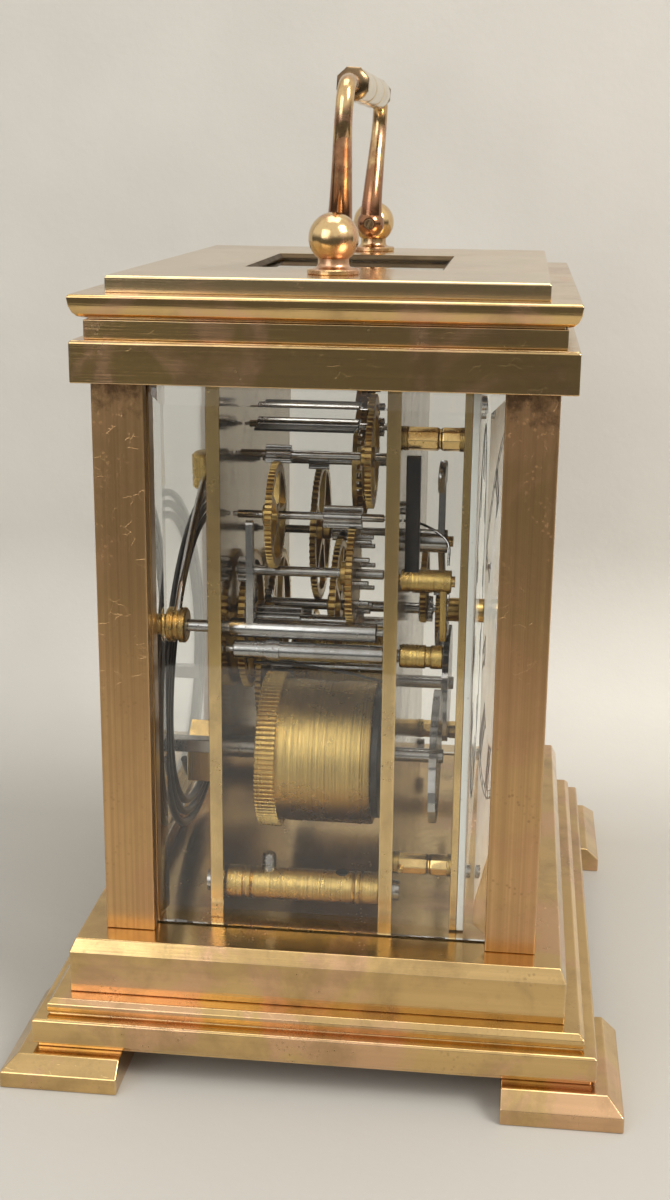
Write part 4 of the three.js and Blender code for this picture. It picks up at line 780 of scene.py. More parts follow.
def makeHandle(s):
    eyeX, rise = s["eyeX"], s["rise"]
    for side, sign in (("left", -1), ("right", 1)):
        knots = [(eyeX, s["eye"] * 0.2), (eyeX + 0.12, rise * 0.2), (eyeX + 2.3, rise * 0.46),
                 (eyeX + 4.75, rise * 0.72), (eyeX + 4.3, rise * 0.91), (eyeX + 1.2, rise * 0.99),
                 (s["gripHalf"] - 0.3, rise)]
        path = curveThrough([(sign * x, 0, z) for x, z in knots], 9)
        radii = []
        for k in range(len(path)):
            along = k / (len(path) - 1)
            radii.append(s["arm"] + s["armSwell"] * max(0, 1 - along / s["swellShare"]) ** 1.3)
        piece = Piece("handleArm_" + side)
        tube(piece, path, radii, "armBrass", 28)
        steps = 18
        eye = [(s["eye"] * math.sin(math.pi * (0.12 + 0.76 * k / steps)),
                -s["eye"] * math.cos(math.pi * (0.12 + 0.76 * k / steps))) for k in range(steps + 1)]
        lathe(piece, "x", (sign * eyeX, 0, 0), [(1.4, eye[0][1])] + eye + [(1.4, eye[-1][1])], "armBrass", 40,
              True)
        leanHandle(piece, s)
        settle(piece.make(50), ["handle_arm_" + side])
    grip = Piece("handleGrip")
    half, r, ring = s["gripHalf"], s["grip"], s["ring"]
    ends = [(s["arm"] + 0.4, half - 0.1), (r - 0.05, half - 0.6), (r + 0.12, half - 0.8), (r + 0.12, half - 1.7),
            (r - 0.05, half - 2.3)]
    for sign in (-1, 1):
        collar = [(radius, sign * x) for radius, x in ends]
        turned(grip, "x", (0, 0, rise), collar[::-1] if sign > 0 else collar, "collarBrass", 8, math.pi / 8)
    spans = [(-half + 2.3, -ring - 0.3), (-ring + 0.3, ring - 0.3), (ring + 0.3, half - 2.3)]
    for x0, x1 in spans:
        swell = 0.12
        inside = [(r + swell * math.sin(math.pi * k / 16) - 0.05, x0 + 0.35 + (x1 - x0 - 0.7) * k / 16)
                  for k in range(17)]
        turned(grip, "x", (0, 0, rise), [(r - 0.45, x0), (r - 0.2, x0 + 0.08)] + inside
               + [(r - 0.2, x1 - 0.08), (r - 0.45, x1)], "gripBrass", 56)
    for x in (-ring, ring):
        band = [(r - 0.4, x - 0.5), (r - 0.3, x - 0.2), (r - 0.3, x + 0.2), (r - 0.4, x + 0.5)]
        turned(grip, "x", (0, 0, rise), band, "collarBrass", 48)
    turned(grip, "x", (0, 0, rise), [(r - 0.8, -half + 2), (r - 0.8, half - 2)], "darkSteel", 24)
    leanHandle(grip, s)
    settle(grip.make(35), ["handle_grip"])


makePosts(handleSettings)
makeHandle(handleSettings)
print("handle made")

# Movement frame

frameSettings = {
    "frontInner": -11.1, "frontOuter": -13.75, "backInner": 20.4, "backOuter": 23.05,
    "levels": {"lower": (41.5, 31.9, 3.4), "upper": (12.0, 130.9, 2.5)}, "dialBack": -25.4, "dialFront": -28.3,
    "dialFootX": 40.0, "dialFeet": (37.4, 124.5),
}


def makeFrame(s):
    for node in ("back_plate", "front_plate", "dial_plate", "gong_block"):
        # Plate faces along the movement take the darker copy: painted shade
        made = fineCopy(node, "plateBrass", caseSettings["plateBevel"], 30, 2, "shadedPlateFace", looksAlongMovement)
        settle(made, [node])
    for level, (x, z, r) in s["levels"].items():
        for side, sign in (("left", -1), ("right", 1)):
            piece = Piece("platePillar_" + level + "_" + side)
            y0, y1 = s["frontInner"] + 0.02, s["backInner"] - 0.02
            rings = [(r - 0.25, y0), (r, y0 + 0.3), (r, y0 + 3.4), (r - 0.45, y0 + 3.6), (r - 0.45, y0 + 3.9),
                     (r, y0 + 4.1), (r, y0 + 4.9), (r - 0.5, y0 + 5.1), (r - 0.12, y0 + 5.6), (r - 0.12, y1 - 5.6),
                     (r - 0.5, y1 - 5.1), (r, y1 - 4.9), (r, y1 - 4.1), (r - 0.45, y1 - 3.9), (r - 0.45, y1 - 3.6),
                     (r, y1 - 3.4), (r, y1 - 0.3), (r - 0.25, y1)]
            turned(piece, "y", (sign * x, 0, z), rings, "turnedBrass" if level == "lower" else "steel", 48)
            settle(piece.make(25), [f"plate_pillar_{level}_{side}"])
    feet = Piece("dialFeet")
    for sign in (-1, 1):
        for z in s["dialFeet"]:
            y0, y1 = s["dialBack"], s["frontOuter"]
            r = 2.3
            turned(feet, "y", (sign * s["dialFootX"], 0, z), [
                (r, y0 + 0.02), (r, y0 + 0.9), (r - 0.5, y0 + 1.3), (r - 0.75, y0 + 2.2), (r - 0.75, y0 + 4.6),
                (r - 0.45, y0 + 5.0), (r - 0.45, y0 + 6.2), (r - 0.75, y0 + 6.6), (r - 0.7, y1 - 2.2),
                (r - 0.4, y1 - 1.3), (r, y1 - 0.9), (r, y1 - 0.02)], "turnedBrass", 36)
        pinY, pinX = s["frontOuter"] - 1.3, s["dialFootX"] - 3.4
        taper = [(r, sign * (pinX + out)) for r, out in ((0.55, -0.1), (0.6, 0), (0.6, 7.2), (0.45, 7.35))]
        turned(feet, "x", (0, pinY, s["dialFeet"][0]), taper[::sign], "turnedBrass", 20)
    settle(feet.make(25), [], "case")
    screws = Piece("frameScrews")
    backPlaces = [(sign * x, s["backOuter"], z) for sign in (-1, 1) for x, z, _ in s["levels"].values()]
    backPlaces += [(-13, s["backOuter"], 43), (-20, s["backOuter"], 52.6)]
    addScrews(screws, backPlaces, "+y", 2.3)
    frontPlaces = [(sign * x, s["frontOuter"], z) for sign in (-1, 1) for x, z, _ in s["levels"].values()]
    addScrews(screws, frontPlaces, "-y", 2.1)
    addScrews(screws, [(sign * 34, s["dialFront"], z) for sign in (-1, 1) for z in (33.5, 129)], "-y", 1.4)
    settle(screws.make(), [], "case")
    blocks = Piece("pillarScrews")
    x, z, r = s["levels"]["lower"]
    for sign in (-1, 1):
        low, high = z + r - 0.6, z + r + 3.3
        turned(blocks, "z", (sign * x, 11.75, 0), [(1.25, low), (1.25, high - 0.2), (1.0, high)], "steel", 28)
        coil = [(sign * x + 1.3 * math.cos(turn * k / 14), 11.75 + 1.3 * math.sin(turn * k / 14),
                 low + 0.7 + 2.9 * k / 84) for k in range(85)]
        tube(blocks, coil, 0.16, "steel", 6, Vector((0, 0, 1)))
        plug = [(1.3, low), (1.3, z + r - 0.1), (1.1, z + r + 0.05)]
        turned(blocks, "z", (sign * x, -3.2, 0), plug, "darkSteel", 28)
    settle(blocks.make(), [], "case")


makeFrame(frameSettings)
print("movement frame made")

# Dial

dialSettings = {
    "centre": (0.0, 80.0), "front": -28.3, "outer": 41.0, "numeral": 34.4, "height": 8.2,
    "thick": 1.45, "thin": 0.42, "lift": 0.06,
}
romans = ["XII", "I", "II", "III", "IIII", "V", "VI", "VII", "VIII", "IX", "X", "XI"]


def strokesOf(letters, s):
    # Each stroke is (x bottom, x top, width), laid out from the left
    made, x = [], 0.0
    for letter in letters:
        if letter == "I":
            made.append((x + 0.7, x + 0.7, s["thick"]))
            x += 2.3
        elif letter == "V":
            made += [(x + 2.3, x + 0.7, s["thick"]), (x + 2.5, x + 4.3, s["thin"])]
            x += 5.2
        else:
            made += [(x + 4.4, x + 0.9, s["thick"]), (x + 0.9, x + 4.4, s["thin"])]
            x += 5.5
    middle = (x - 0.9) / 2
    return [(low - middle, high - middle, width) for low, high, width in made]


def makeDial(s):
    settle(fineCopy("dial", "enamel", 0.25), ["dial"])
    piece = Piece("dialMarks")
    y1, y0 = s["front"] + 0.05, s["front"] - s["lift"]
    half = s["height"] / 2
    for hour, letters in enumerate(romans):
        angle = math.pi / 2 - turn * hour / 12
        along = (math.cos(angle), math.sin(angle))
        across = (math.sin(angle), -math.cos(angle))

        def spot(x, z):
            return (s["centre"][0] + along[0] * (s["numeral"] + z) + across[0] * x,
                    s["centre"][1] + along[1] * (s["numeral"] + z) + across[1] * x)
        strokes = strokesOf(letters, s)
        squeeze = 0.62 if len(letters) > 3 else 0.72
        for low, high, width in strokes:
            low, high, w = low * squeeze, high * squeeze, width * squeeze / 2
            stroke = [spot(low - w, -half), spot(low + w, -half), spot(high + w, half), spot(high - w, half)]
            prism(piece, "y", stroke, y0, y1, "paintedBlack")
        ends = [v * squeeze for low, high, _ in strokes for v in (low, high)]
        for z in (-half, half):
            prism(piece, "y", [spot(min(ends) - 0.9, z - 0.18), spot(max(ends) + 0.9, z - 0.18),
                               spot(max(ends) + 0.9, z + 0.18), spot(min(ends) - 0.9, z + 0.18)],
                  y0 - 0.01, y1, "paintedBlack")
    centre = (s["centre"][0], 0, s["centre"][1])
    for radius, width in ((s["outer"], 0.25), (s["outer"] - 1.7, 0.18)):
        lathe(piece, "y", centre, [(radius - width, y0), (radius, y0), (radius, y1), (radius - width, y1)],
              "paintedBlack", 160, True)
    addRing(piece, toothShape, 60, s["outer"] - 1.7, 0.0, (s["centre"][0], s["front"] - 0.02, s["centre"][1]),
            (1.75, 0.1, 0.2), "paintedBlack")
    addRing(piece, toothShape, 12, s["outer"] - 1.9, 0.0, (s["centre"][0], s["front"] - 0.02, s["centre"][1]),
            (1.95, 0.12, 0.75), "paintedBlack")
    settle(piece.make(), [], "case")


makeDial(dialSettings)
print("dial made")

# Wheels

arbors = {
    "strikeBarrel": (-24.5, 54.9), "strikeFirst": (-13.05, 69.7), "strikeSecond": (-22, 82.6),
    "pinWheel": (-32, 95.6), "strikeFourth": (-34, 107.5), "warning": (-30.5, 119), "fly": (-19.8, 123.2),
    "hammer": (-41.5, 86.3), "lifting": (-42.5, 82.2),
    "goingBarrel": (24.5, 54.9), "goingFirst": (16.6, 71.8), "centre": (0, 80), "goingThird": (7, 95.3),
    "contrate": (3, 111.8), "minute": (-7.4, 87.4),
}
# wheel arbor, teeth, pinion arbor, leaves: finer than the CAD teeth, with the same ratios and pitch circles
gearing = {
    "strikeGreat": ("strikeBarrel", 96, "strikeFirst", 16), "strikeFirst": ("strikeFirst", 60, "strikeSecond", 12),
    "strikeSecond": ("strikeSecond", 60, "pinWheel", 10), "pinWheel": ("pinWheel", 50, "strikeFourth", 10),
    "strikeFourth": ("strikeFourth", 60, "warning", 10), "warning": ("warning", 48, "fly", 8),
    "goingGreat": ("goingBarrel", 96, "goingFirst", 16), "goingFirst": ("goingFirst", 60, "centre", 10),
    "centre": ("centre", 60, "goingThird", 8), "goingThird": ("goingThird", 64, "contrate", 8),
    "cannon": ("minute", 36, "centre", 12), "hour": ("centre", 48, "minute", 12),
}


def meshOf(pair):
    wheelName, teeth, pinionName, leaves = gearing[pair]
    a, b = arbors[wheelName], arbors[pinionName]
    span = math.dist(a, b)
    radius = span * teeth / (teeth + leaves)
    line = math.atan2(b[1] - a[1], b[0] - a[0])
    lead = line % (turn / teeth)
    return {"wheelAt": a, "teeth": teeth, "radius": radius, "pinionAt": b, "leaves": leaves,
            "pinionRadius": span - radius, "phase": line + math.pi + lead * teeth / leaves + math.pi / leaves}


def arborCentre(at):
    return (at[0], 0, at[1])


def addWheel(piece, pair, y0, y1, spokes=0, finish="wheelBrass"):
    m = meshOf(pair)
    unit = 2 * m["radius"] / m["teeth"]
    root = m["radius"] - 1.1 * unit
    centre = arborCentre(m["wheelAt"])
    middle = (m["wheelAt"][0], (y0 + y1) / 2, m["wheelAt"][1])
    addRing(piece, toothShape, m["teeth"], root, 0.0, middle, (1.85 * unit, y1 - y0, 0.5 * math.pi * unit), finish)
    thin = 0.12
    if not spokes:
        turned(piece, "y", centre, [(root - thin, y0), (root, y0 + thin), (root, y1 - thin), (root - thin, y1)],
               finish, 96)
        return
    rim = root - 1.25
    lathe(piece, "y", centre, [(rim, y0), (root, y0), (root, y1), (rim, y1)], finish, 96, True)
    hub = m["radius"] * 0.22
    turned(piece, "y", centre, [(hub, y0 - 0.02), (hub, y1 + 0.02)], finish, 40)
    addBars(piece, "y", m["wheelAt"], spokes, 0.0, (hub - 0.4, rim + 0.3), (0.75, 0.48), y0 + 0.05, y1 - 0.05, finish)


def addPinion(piece, pair, y0, y1, finish="steel"):
    m = meshOf(pair)
    unit = 2 * m["pinionRadius"] / m["leaves"]
    root = m["pinionRadius"] - 1.05 * unit
    middle = (m["pinionAt"][0], (y0 + y1) / 2, m["pinionAt"][1])
    leafSize = (1.6 * unit, y1 - y0, 0.42 * math.pi * unit)
    addRing(piece, toothShape, m["leaves"], root, m["phase"], middle, leafSize, finish)
    turned(piece, "y", arborCentre(m["pinionAt"]), [(root * 0.92, y0), (root, y0 + 0.15), (root, y1 - 0.15),
                                                    (root * 0.92, y1)], finish, 40)


def addArbor(piece, name, r, y0=-10.8, y1=20.1, finish="steel"):
    turned(piece, "y", arborCentre(arbors[name]), [
        (r * 0.5, y0), (r * 0.58, y0 + 0.08), (r * 0.58, y0 + 0.9), (r * 0.94, y0 + 1), (r, y0 + 1.1), (r, y1 - 1.1),
        (r * 0.94, y1 - 1), (r * 0.58, y1 - 0.9), (r * 0.58, y1 - 0.08), (r * 0.5, y1)], finish, 28)


def addCollet(piece, name, r, y0, y1, finish="wheelBrass"):
    profile = [(r - 0.3, y0), (r, y0 + 0.3), (r, y1 - 0.15), (r - 0.15, y1)]
    turned(piece, "y", arborCentre(arbors[name]), profile, finish, 36)


barrelSettings = {"wheel": (11.0, 15.2), "drum": 14.9, "front": -8.3, "square": 35.6, "ratchet": (-21.5, -20.0)}


def makeBarrel(side, name, pair, s):
    piece = Piece(side + "Barrel")
    centre = arborCentre(arbors[name])
    y0, r = s["front"], s["drum"]
    turned(piece, "y", centre, [(r - 1.5, y0 - 1.3), (r - 1.4, y0 - 1.2), (r - 1.4, y0 + 0.02)], "darkSteel", 96)
    drum = [(r - 0.5, y0), (r - 0.1, y0 + 0.12), (r, y0 + 0.4), (r, y0 + 1.6), (r - 0.12, y0 + 1.7),
            (r - 0.12, y0 + 1.95), (r, y0 + 2.05), (r, s["wheel"][0] + 0.1)]
    turned(piece, "y", centre, drum, "turnedBrass", 128)
    addWheel(piece, pair, *s["wheel"], 0, "turnedBrass")
    turned(piece, "y", centre, [(8, s["wheel"][1] - 0.1), (8, s["wheel"][1] + 0.35), (7.8, s["wheel"][1] + 0.48)],
           "turnedBrass", 64)
    settle(piece.make(25), [side + "_barrel"])
    arbor = Piece(side + "WindingArbor")
    rear = frameSettings["backOuter"]
    tip = s["ratchet"][0]
    turned(arbor, "y", centre, [(1.4, tip - 0.9), (1.5, tip - 0.8), (1.5, -10.8), (2.3, -10.75), (2.3, rear + 1.0),
                                (2.1, rear + 1.2)], "steel", 40)
    x, z = arbors[name]
    half = 1.45
    prism(arbor, "y", [(x - half, z - half + 0.2), (x - half + 0.2, z - half), (x + half - 0.2, z - half),
                       (x + half, z - half + 0.2), (x + half, z + half - 0.2), (x + half - 0.2, z + half),
                       (x - half + 0.2, z + half), (x - half, z + half - 0.2)], rear + 1, s["square"] - 0.3, "steel")
    ratchet = []
    for k in range(32):
        ratchet += [polar(arbors[name], 13.95, turn * k / 32), polar(arbors[name], 12.7, turn * (k + 0.12) / 32)]
    prism(arbor, "y", ratchet, *s["ratchet"], "steel")
    settle(arbor.make(25), [side + "_winding_arbor"])


def trainPiece(node, build):
    piece = Piece("".join(part.capitalize() if k else part for k, part in enumerate(node.split("_"))) + "Fine")
    build(piece)
    settle(piece.make(30), [node])


def pinWheel(piece):
    addArbor(piece, "pinWheel", 1.0)
    addPinion(piece, "strikeSecond", 16.4, 19.4)
    addWheel(piece, "pinWheel", -4.4, -3.0)
    addCollet(piece, "pinWheel", 2.4, -3.0, -1.2)
    for k in range(10):
        at = polar(arbors["pinWheel"], 7.4, turn * k / 10)
        turned(piece, "y", arborCentre(at), [(0.4, -7.5), (0.5, -7.35), (0.5, -4.3)], "steel", 16)


def fly(piece):
    addArbor(piece, "fly", 0.7)
    addPinion(piece, "warning", -8.4, -5.0)
    x, z = arbors["fly"]
    prism(piece, "y", [(x - 7.5, z - 0.22), (x + 7.5, z - 0.22), (x + 7.5, z + 0.22), (x - 7.5, z + 0.22)], -3, 17,
          "darkSteel")
    turned(piece, "y", (x, 0, z), [(1.2, -3.4), (1.45, -3.2), (1.45, 17.2), (1.2, 17.4)], "steel", 32)


def contrate(piece):
    addArbor(piece, "contrate", 0.9)
    addPinion(piece, "goingThird", 5.4, 9.8)
    at, radius, width = arbors["contrate"], 12.0, 1.4
    base = -1.75
    lathe(piece, "y", arborCentre(at), [(radius - width, base), (radius - 0.1, base), (radius - 0.1, base + 1),
                                        (radius - width, base + 1)], "wheelBrass", 96, True)
    turned(piece, "y", arborCentre(at), [(2.6, base + 0.1), (2.6, base + 0.9)], "wheelBrass", 32)
    addBars(piece, "y", at, 4, 0.4, (2.2, radius - width + 0.3), (0.7, 0.5), base + 0.15, base + 0.85, "wheelBrass")
    addRing(piece, crownToothShape, 40, radius - 0.12, math.pi / 2, (at[0], base + 0.02, at[1]),
            (width - 0.1, 1.2, 0.36 * turn * (radius - 0.7) / 40), "wheelBrass")


plainWheels = {
    "strike_first_wheel": {"arbor": ("strikeFirst", 1.0), "pinion": ("strikeGreat", 10.6, 15.5),
                           "wheel": ("strikeFirst", 16, 17.3), "collet": ("strikeFirst", 2.2, 17.25, 18.2)},
    "strike_second_wheel": {"arbor": ("strikeSecond", 1.0), "pinion": ("strikeFirst", 8, 17.4),
                            "wheel": ("strikeSecond", 17.9, 19.2, 4)},
    "strike_fourth_wheel": {"arbor": ("strikeFourth", 0.8), "pinion": ("pinWheel", -5.6, 2),
                            "wheel": ("strikeFourth", 11, 12.3, 5), "collet": ("strikeFourth", 2.0, 12.2, 14)},
    "warning_wheel": {"arbor": ("warning", 0.8), "pinion": ("strikeFourth", 9, 14),
                      "wheel": ("warning", -7.6, -6.4, 4), "collet": ("warning", 1.9, -6.5, -4.8)},
    "going_first_wheel": {"arbor": ("goingFirst", 1.0), "pinion": ("goingGreat", 10.6, 15.5),
                          "wheel": ("goingFirst", 17.9, 19.2, 5)},
    "going_third_wheel": {"arbor": ("goingThird", 0.9), "pinion": ("centre", 0.5, 5),
                          "wheel": ("goingThird", 7, 8.3, 5), "collet": ("goingThird", 2.1, 5.2, 7)},
}
wheelParts = {"arbor": addArbor, "pinion": addPinion, "wheel": addWheel, "collet": addCollet}


def addParts(piece, parts):
    for kind, values in parts.items():
        wheelParts[kind](piece, *values)


def makeTrains():
    makeBarrel("strike", "strikeBarrel", "strikeGreat", barrelSettings)
    makeBarrel("going", "goingBarrel", "goingGreat", barrelSettings)
    ownShapes = {"pin_wheel": pinWheel, "fly": fly, "contrate_wheel": contrate}
    for node in ("strike_first_wheel", "strike_second_wheel", "pin_wheel", "strike_fourth_wheel", "warning_wheel",
                 "fly", "going_first_wheel", "going_third_wheel", "contrate_wheel"):
        build = ownShapes.get(node) or (lambda piece: addParts(piece, plainWheels[node]))
        trainPiece(node, build)


def centreWheel(piece):
    x, z = arbors["centre"]
    rear = frameSettings["backOuter"]
    turned(piece, "y", (x, 0, z), [(0.6, -32.0), (0.8, -31.8), (0.8, -18.4), (1.2, -18.35), (1.2, rear + 2.9),
                                   (1.0, rear + 3)], "steel", 28)
    prism(piece, "y", [(x - 1, z - 1), (x + 1, z - 1), (x + 1, z + 1), (x - 1, z + 1)], rear + 2.9, rear + 8, "steel")
    addPinion(piece, "goingFirst", 17.5, 19.8)
    addWheel(piece, "centre", 2, 3.3, 5)
    addCollet(piece, "centre", 2.4, 3.2, 5)
    addPinion(piece, "cannon", -18.2, -15.2)


makeTrains()
trainPiece("centre_wheel", centreWheel)
print("trains made")

# Hands and motion work

handSettings = {
    "centre": (0.0, 80.0), "hourY": (-30.0, -29.5), "minuteY": (-31.4, -30.9), "hourLength": 22.0,
    "minuteLength": 33.0, "hourAngle": -57.0, "minuteAngle": 57.0,
}


def handOutline(centre, length, angle, boss, belly):
    shape = [(0.0, boss / 2), (0.06, boss / 2.6), (0.12, 0.62), (0.5, 0.5), (0.58, 0.75), (0.63, 1.35),
             (0.69, belly), (0.76, belly * 0.93), (0.83, 1.0), (0.9, 0.45), (1.0, 0.12)]
    spots = [(a * length, h) for a, h in shape] + [(a * length, -h) for a, h in reversed(shape)]
    made = []
    for along, half in spots:
        x, z = polar(centre, along, angle)
        made.append((x - half * math.sin(angle), z + half * math.cos(angle)))
    tail = [polar(centre, boss / 2, angle + math.pi / 2 + math.pi * (k + 1) / 12) for k in range(11)]
    return made + tail[::-1]


def hourWork(piece):
    s = handSettings
    centre = (s["centre"][0], 0, s["centre"][1])
    back = -19.1
    pipe = [(1.4, -29.9), (2.5, -29.9), (2.6, -29.7), (2.6, back), (1.4, back)]
    lathe(piece, "y", centre, pipe, "wheelBrass", 40, True)
    addWheel(piece, "hour", back - 1.2, back)
    snail = []
    for k in range(12):
        radius = 3.4 + 0.3 * k
        snail += [polar(s["centre"], radius, math.radians(30 * k + d)) for d in (0, 10, 20, 29.5)]
    prism(piece, "y", snail, back - 2.6, back - 1.4, "steel")
    prism(piece, "y", handOutline(s["centre"], s["hourLength"], math.radians(s["hourAngle"]), 6.2, 2.3), *s["hourY"],
          "bluedSteel")


def minuteWork(piece):
    x, z = arbors["minute"]
    addWheel(piece, "cannon", -17.3, -16.1, 4)
    turned(piece, "y", (x, 0, z), [(1.3, -20.7), (1.35, -17.1), (1.9, -17.1), (1.9, -14.1)], "steel", 28)
    addPinion(piece, "hour", -20.8, -18.7)
    turned(piece, "y", (x - 5, 0, z), [(0.4, -18.5), (0.5, -18.4), (0.5, -17.1)], "steel", 16)


trainPiece("hour_wheel", hourWork)
trainPiece("minute_wheel", minuteWork)
minuteHand = Piece("minuteHandFine")
minuteOutline = handOutline(handSettings["centre"], handSettings["minuteLength"],
                            math.radians(handSettings["minuteAngle"]), 4.2, 2.0)
prism(minuteHand, "y", minuteOutline, *handSettings["minuteY"], "bluedSteel")
turned(minuteHand, "y", arborCentre(handSettings["centre"]), [(1.5, -31.75), (1.9, -31.6), (1.9, -30.95)],
       "turnedBrass", 40)
settle(minuteHand.make(30, 0.08), ["minute_hand"])
settle(fineCopy("rack", "steel", 0.08), ["rack"])
settle(fineCopy("rack_hook", "turnedBrass", 0.08, second="darkSteel", chosen=lambda face: face.center.z > 0.0996),
       ["rack_hook"])
print("hands made")

# Hammer, lifting piece and gong

strikeSettings = {"gongCentre": (0.0, 34.0, 67.0), "gongOuter": 38.0, "gongPitch": 2.5, "gongTurns": 3, "wire": 0.85,
                  "gongStart": 232.0, "gongRunIn": 70.0, "blockRadius": 24.6, "lean": 2.2, "strikeAngle": 95.0,
                  "headY": 31.2, "stem": 0.75}
springs = {
    "hammer": {"knots": [(-40.6, -10.9, 76.0), (-40.9, -4, 77.6), (-41.2, 6, 78.9), (-41.6, 15, 79.3)],
               "radius": 0.28, "finish": "darkSteel"},
    "hook": {"knots": [(-37.5, -14.0, 108), (-38.5, -18, 107.5), (-41, -22.6, 105), (-42.1, -23.0, 100.5)],
             "radius": 0.26, "finish": "steel"},
}


def addLever(piece, start, end, wide, narrow, y0, y1, finish):
    angle = math.atan2(end[1] - start[1], end[0] - start[0])
    outline = [polar(start, wide / 2, angle + math.pi / 2 + math.pi * k / 8) for k in range(9)]
    outline += [polar(end, narrow / 2, angle - math.pi / 2 + math.pi * k / 8) for k in range(9)]
    prism(piece, "y", outline, y0, y1, finish)


def makeHammer(s):
    piece = Piece("hammerFine")
    x, z = arbors["hammer"]
    turned(piece, "y", (x, 0, z), [(0.7, -10.8), (0.8, -10.7), (0.8, -9.5), (1.75, -9.45), (1.9, -9.3), (1.9, 19.2),
                                   (1.8, 19.4), (1.2, 19.4), (1.2, 28)], "steel", 48)
    turned(piece, "y", (x, 0, z), [(3.1, 28.0), (3.5, 28.3), (3.5, 29.4), (3.15, 29.6), (3.15, 30.4), (3.5, 30.6),
                                   (3.5, 31.7), (3.2, 32.0)], "turnedBrass", 64)
    turned(piece, "y", (x, 0, z), [(2.05, 31.9), (2.05, 34), (1.75, 34.2), (1.75, 34.7), (2.05, 34.9), (2.05, 36.4),
                                   (1.85, 36.6)], "turnedBrass", 40)
    addLever(piece, (x, z), (x - 1, z + 21), 3.0, 1.6, 14.7, 16.1, "steel")
    pins = arbors["pinWheel"]
    aim = math.atan2(pins[1] - z, pins[0] - x)
    addLever(piece, (x, z), polar((x, z), 4.8, aim), 3.0, 1.2, -6.6, -5.2, "steel")
    strike = math.radians(s["strikeAngle"])
    gx, gz = s["gongCentre"][0], s["gongCentre"][2]
    near = s["gongOuter"] + s["wire"] + 0.5
    start, end = polar((gx, gz), near, strike), polar((gx, gz), near + 8, strike)
    direction = Vector((end[0] - start[0], 0, end[1] - start[1])).normalized()
    head = Piece("head")
    turned(head, "z", (0, 0, 0), [(2.3, 0), (2.75, 0.15), (3.2, 0.6), (3.2, 2.4), (3.0, 2.6), (3.0, 2.9), (3.2, 3.1),
                                  (3.2, 7.4), (2.75, 7.85), (2.3, 8.0)], "turnedBrass", 48)
    turnHead = Vector((0, 0, 1)).rotation_difference(direction)
    foot = Vector((start[0], s["headY"], start[1]))
    piece.add([turnHead @ Vector(p) + foot for p in head.points], head.faces, "turnedBrass")
    middle = polar((gx, gz), near + 4, strike)
    stem = curveThrough([(x, 30, z + 2.6), (x + 2.8, 29.6, z + 8), (x + 11, 29.6, z + 14.5), (x + 23, 29.8, z + 21.5),
                         (middle[0], s["headY"], middle[1])], 10)
    tube(piece, stem, s["stem"], "steel", 14)
    settle(piece.make(30), ["hammer"])


def makeLifting():
    piece = Piece("liftingPieceFine")
    x, z = arbors["lifting"]
    turned(piece, "y", (x, 0, z), [(2.0, -22.5), (2.3, -22.3), (2.3, -20.2), (2.05, -20), (2.05, -19.2), (2.3, -19),
                                   (2.3, -14.3), (2.1, -14.1)], "turnedBrass", 48)
    turned(piece, "y", (x, 0, z), [(1.2, -14.1), (1.2, -10.8), (1.75, -10.75), (1.75, 9.4), (2.1, 9.5), (2.1, 12),
                                   (1.75, 12.1), (1.75, 18.4), (1.6, 18.6), (0.8, 18.6), (0.7, 20.1)], "steel", 48)
    addLever(piece, (x, z), (-18, 83.5), 3.6, 1.6, -22.1, -20.9, "steel")
    settle(piece.make(30), ["lifting_piece"])


def makeGong(s):
    piece = Piece("gongFine")
    start, runIn, blockRadius = math.radians(s["gongStart"]), math.radians(s["gongRunIn"]), s["blockRadius"]
    inner = s["gongOuter"] - s["gongPitch"] * s["gongTurns"]
    path = []
    steps = 64 * s["gongTurns"]  # 64 to each turn of the spiral
    for k in range(steps + 1):
        left = turn * s["gongTurns"] * (1 - k / steps)
        path.append(polar((0, 0), inner + s["gongPitch"] * left / turn, start + runIn + left))
    for k in range(1, 9):
        share = k / 8
        path.append(polar((0, 0), inner + (blockRadius - inner) * share ** 1.5, start + runIn * (1 - share)))
    lean = Matrix.Rotation(math.radians(s["lean"]), 3, "X")
    places = [lean @ Vector((x, 0, z)) + Vector(s["gongCentre"]) for x, z in path]
    tube(piece, places, s["wire"] * 0.98, "darkSteel", 12)
    settle(piece.make(60), ["gong"])


makeHammer(strikeSettings)
makeLifting()
makeGong(strikeSettings)
wires = Piece("springWires")
for spring in springs.values():
    tube(wires, curveThrough(spring["knots"], 12), spring["radius"], spring["finish"], 10)
addScrews(wires, [(-37.5, -13.75, 110.5)], "-y", 1.3)
settle(wires.make(40), [], "case")
print("strike work made")

# Platform

platformSettings = {"x": 3.0, "escapeY": -3.8625, "balanceY": 12.7375, "deck": 137.5, "wheelZ": 139.1,
                    "balanceZ": 141.7, "balance": 8.4, "escape": 5.0, "escapePinion": 1.4125, "escapeLeaves": 5}


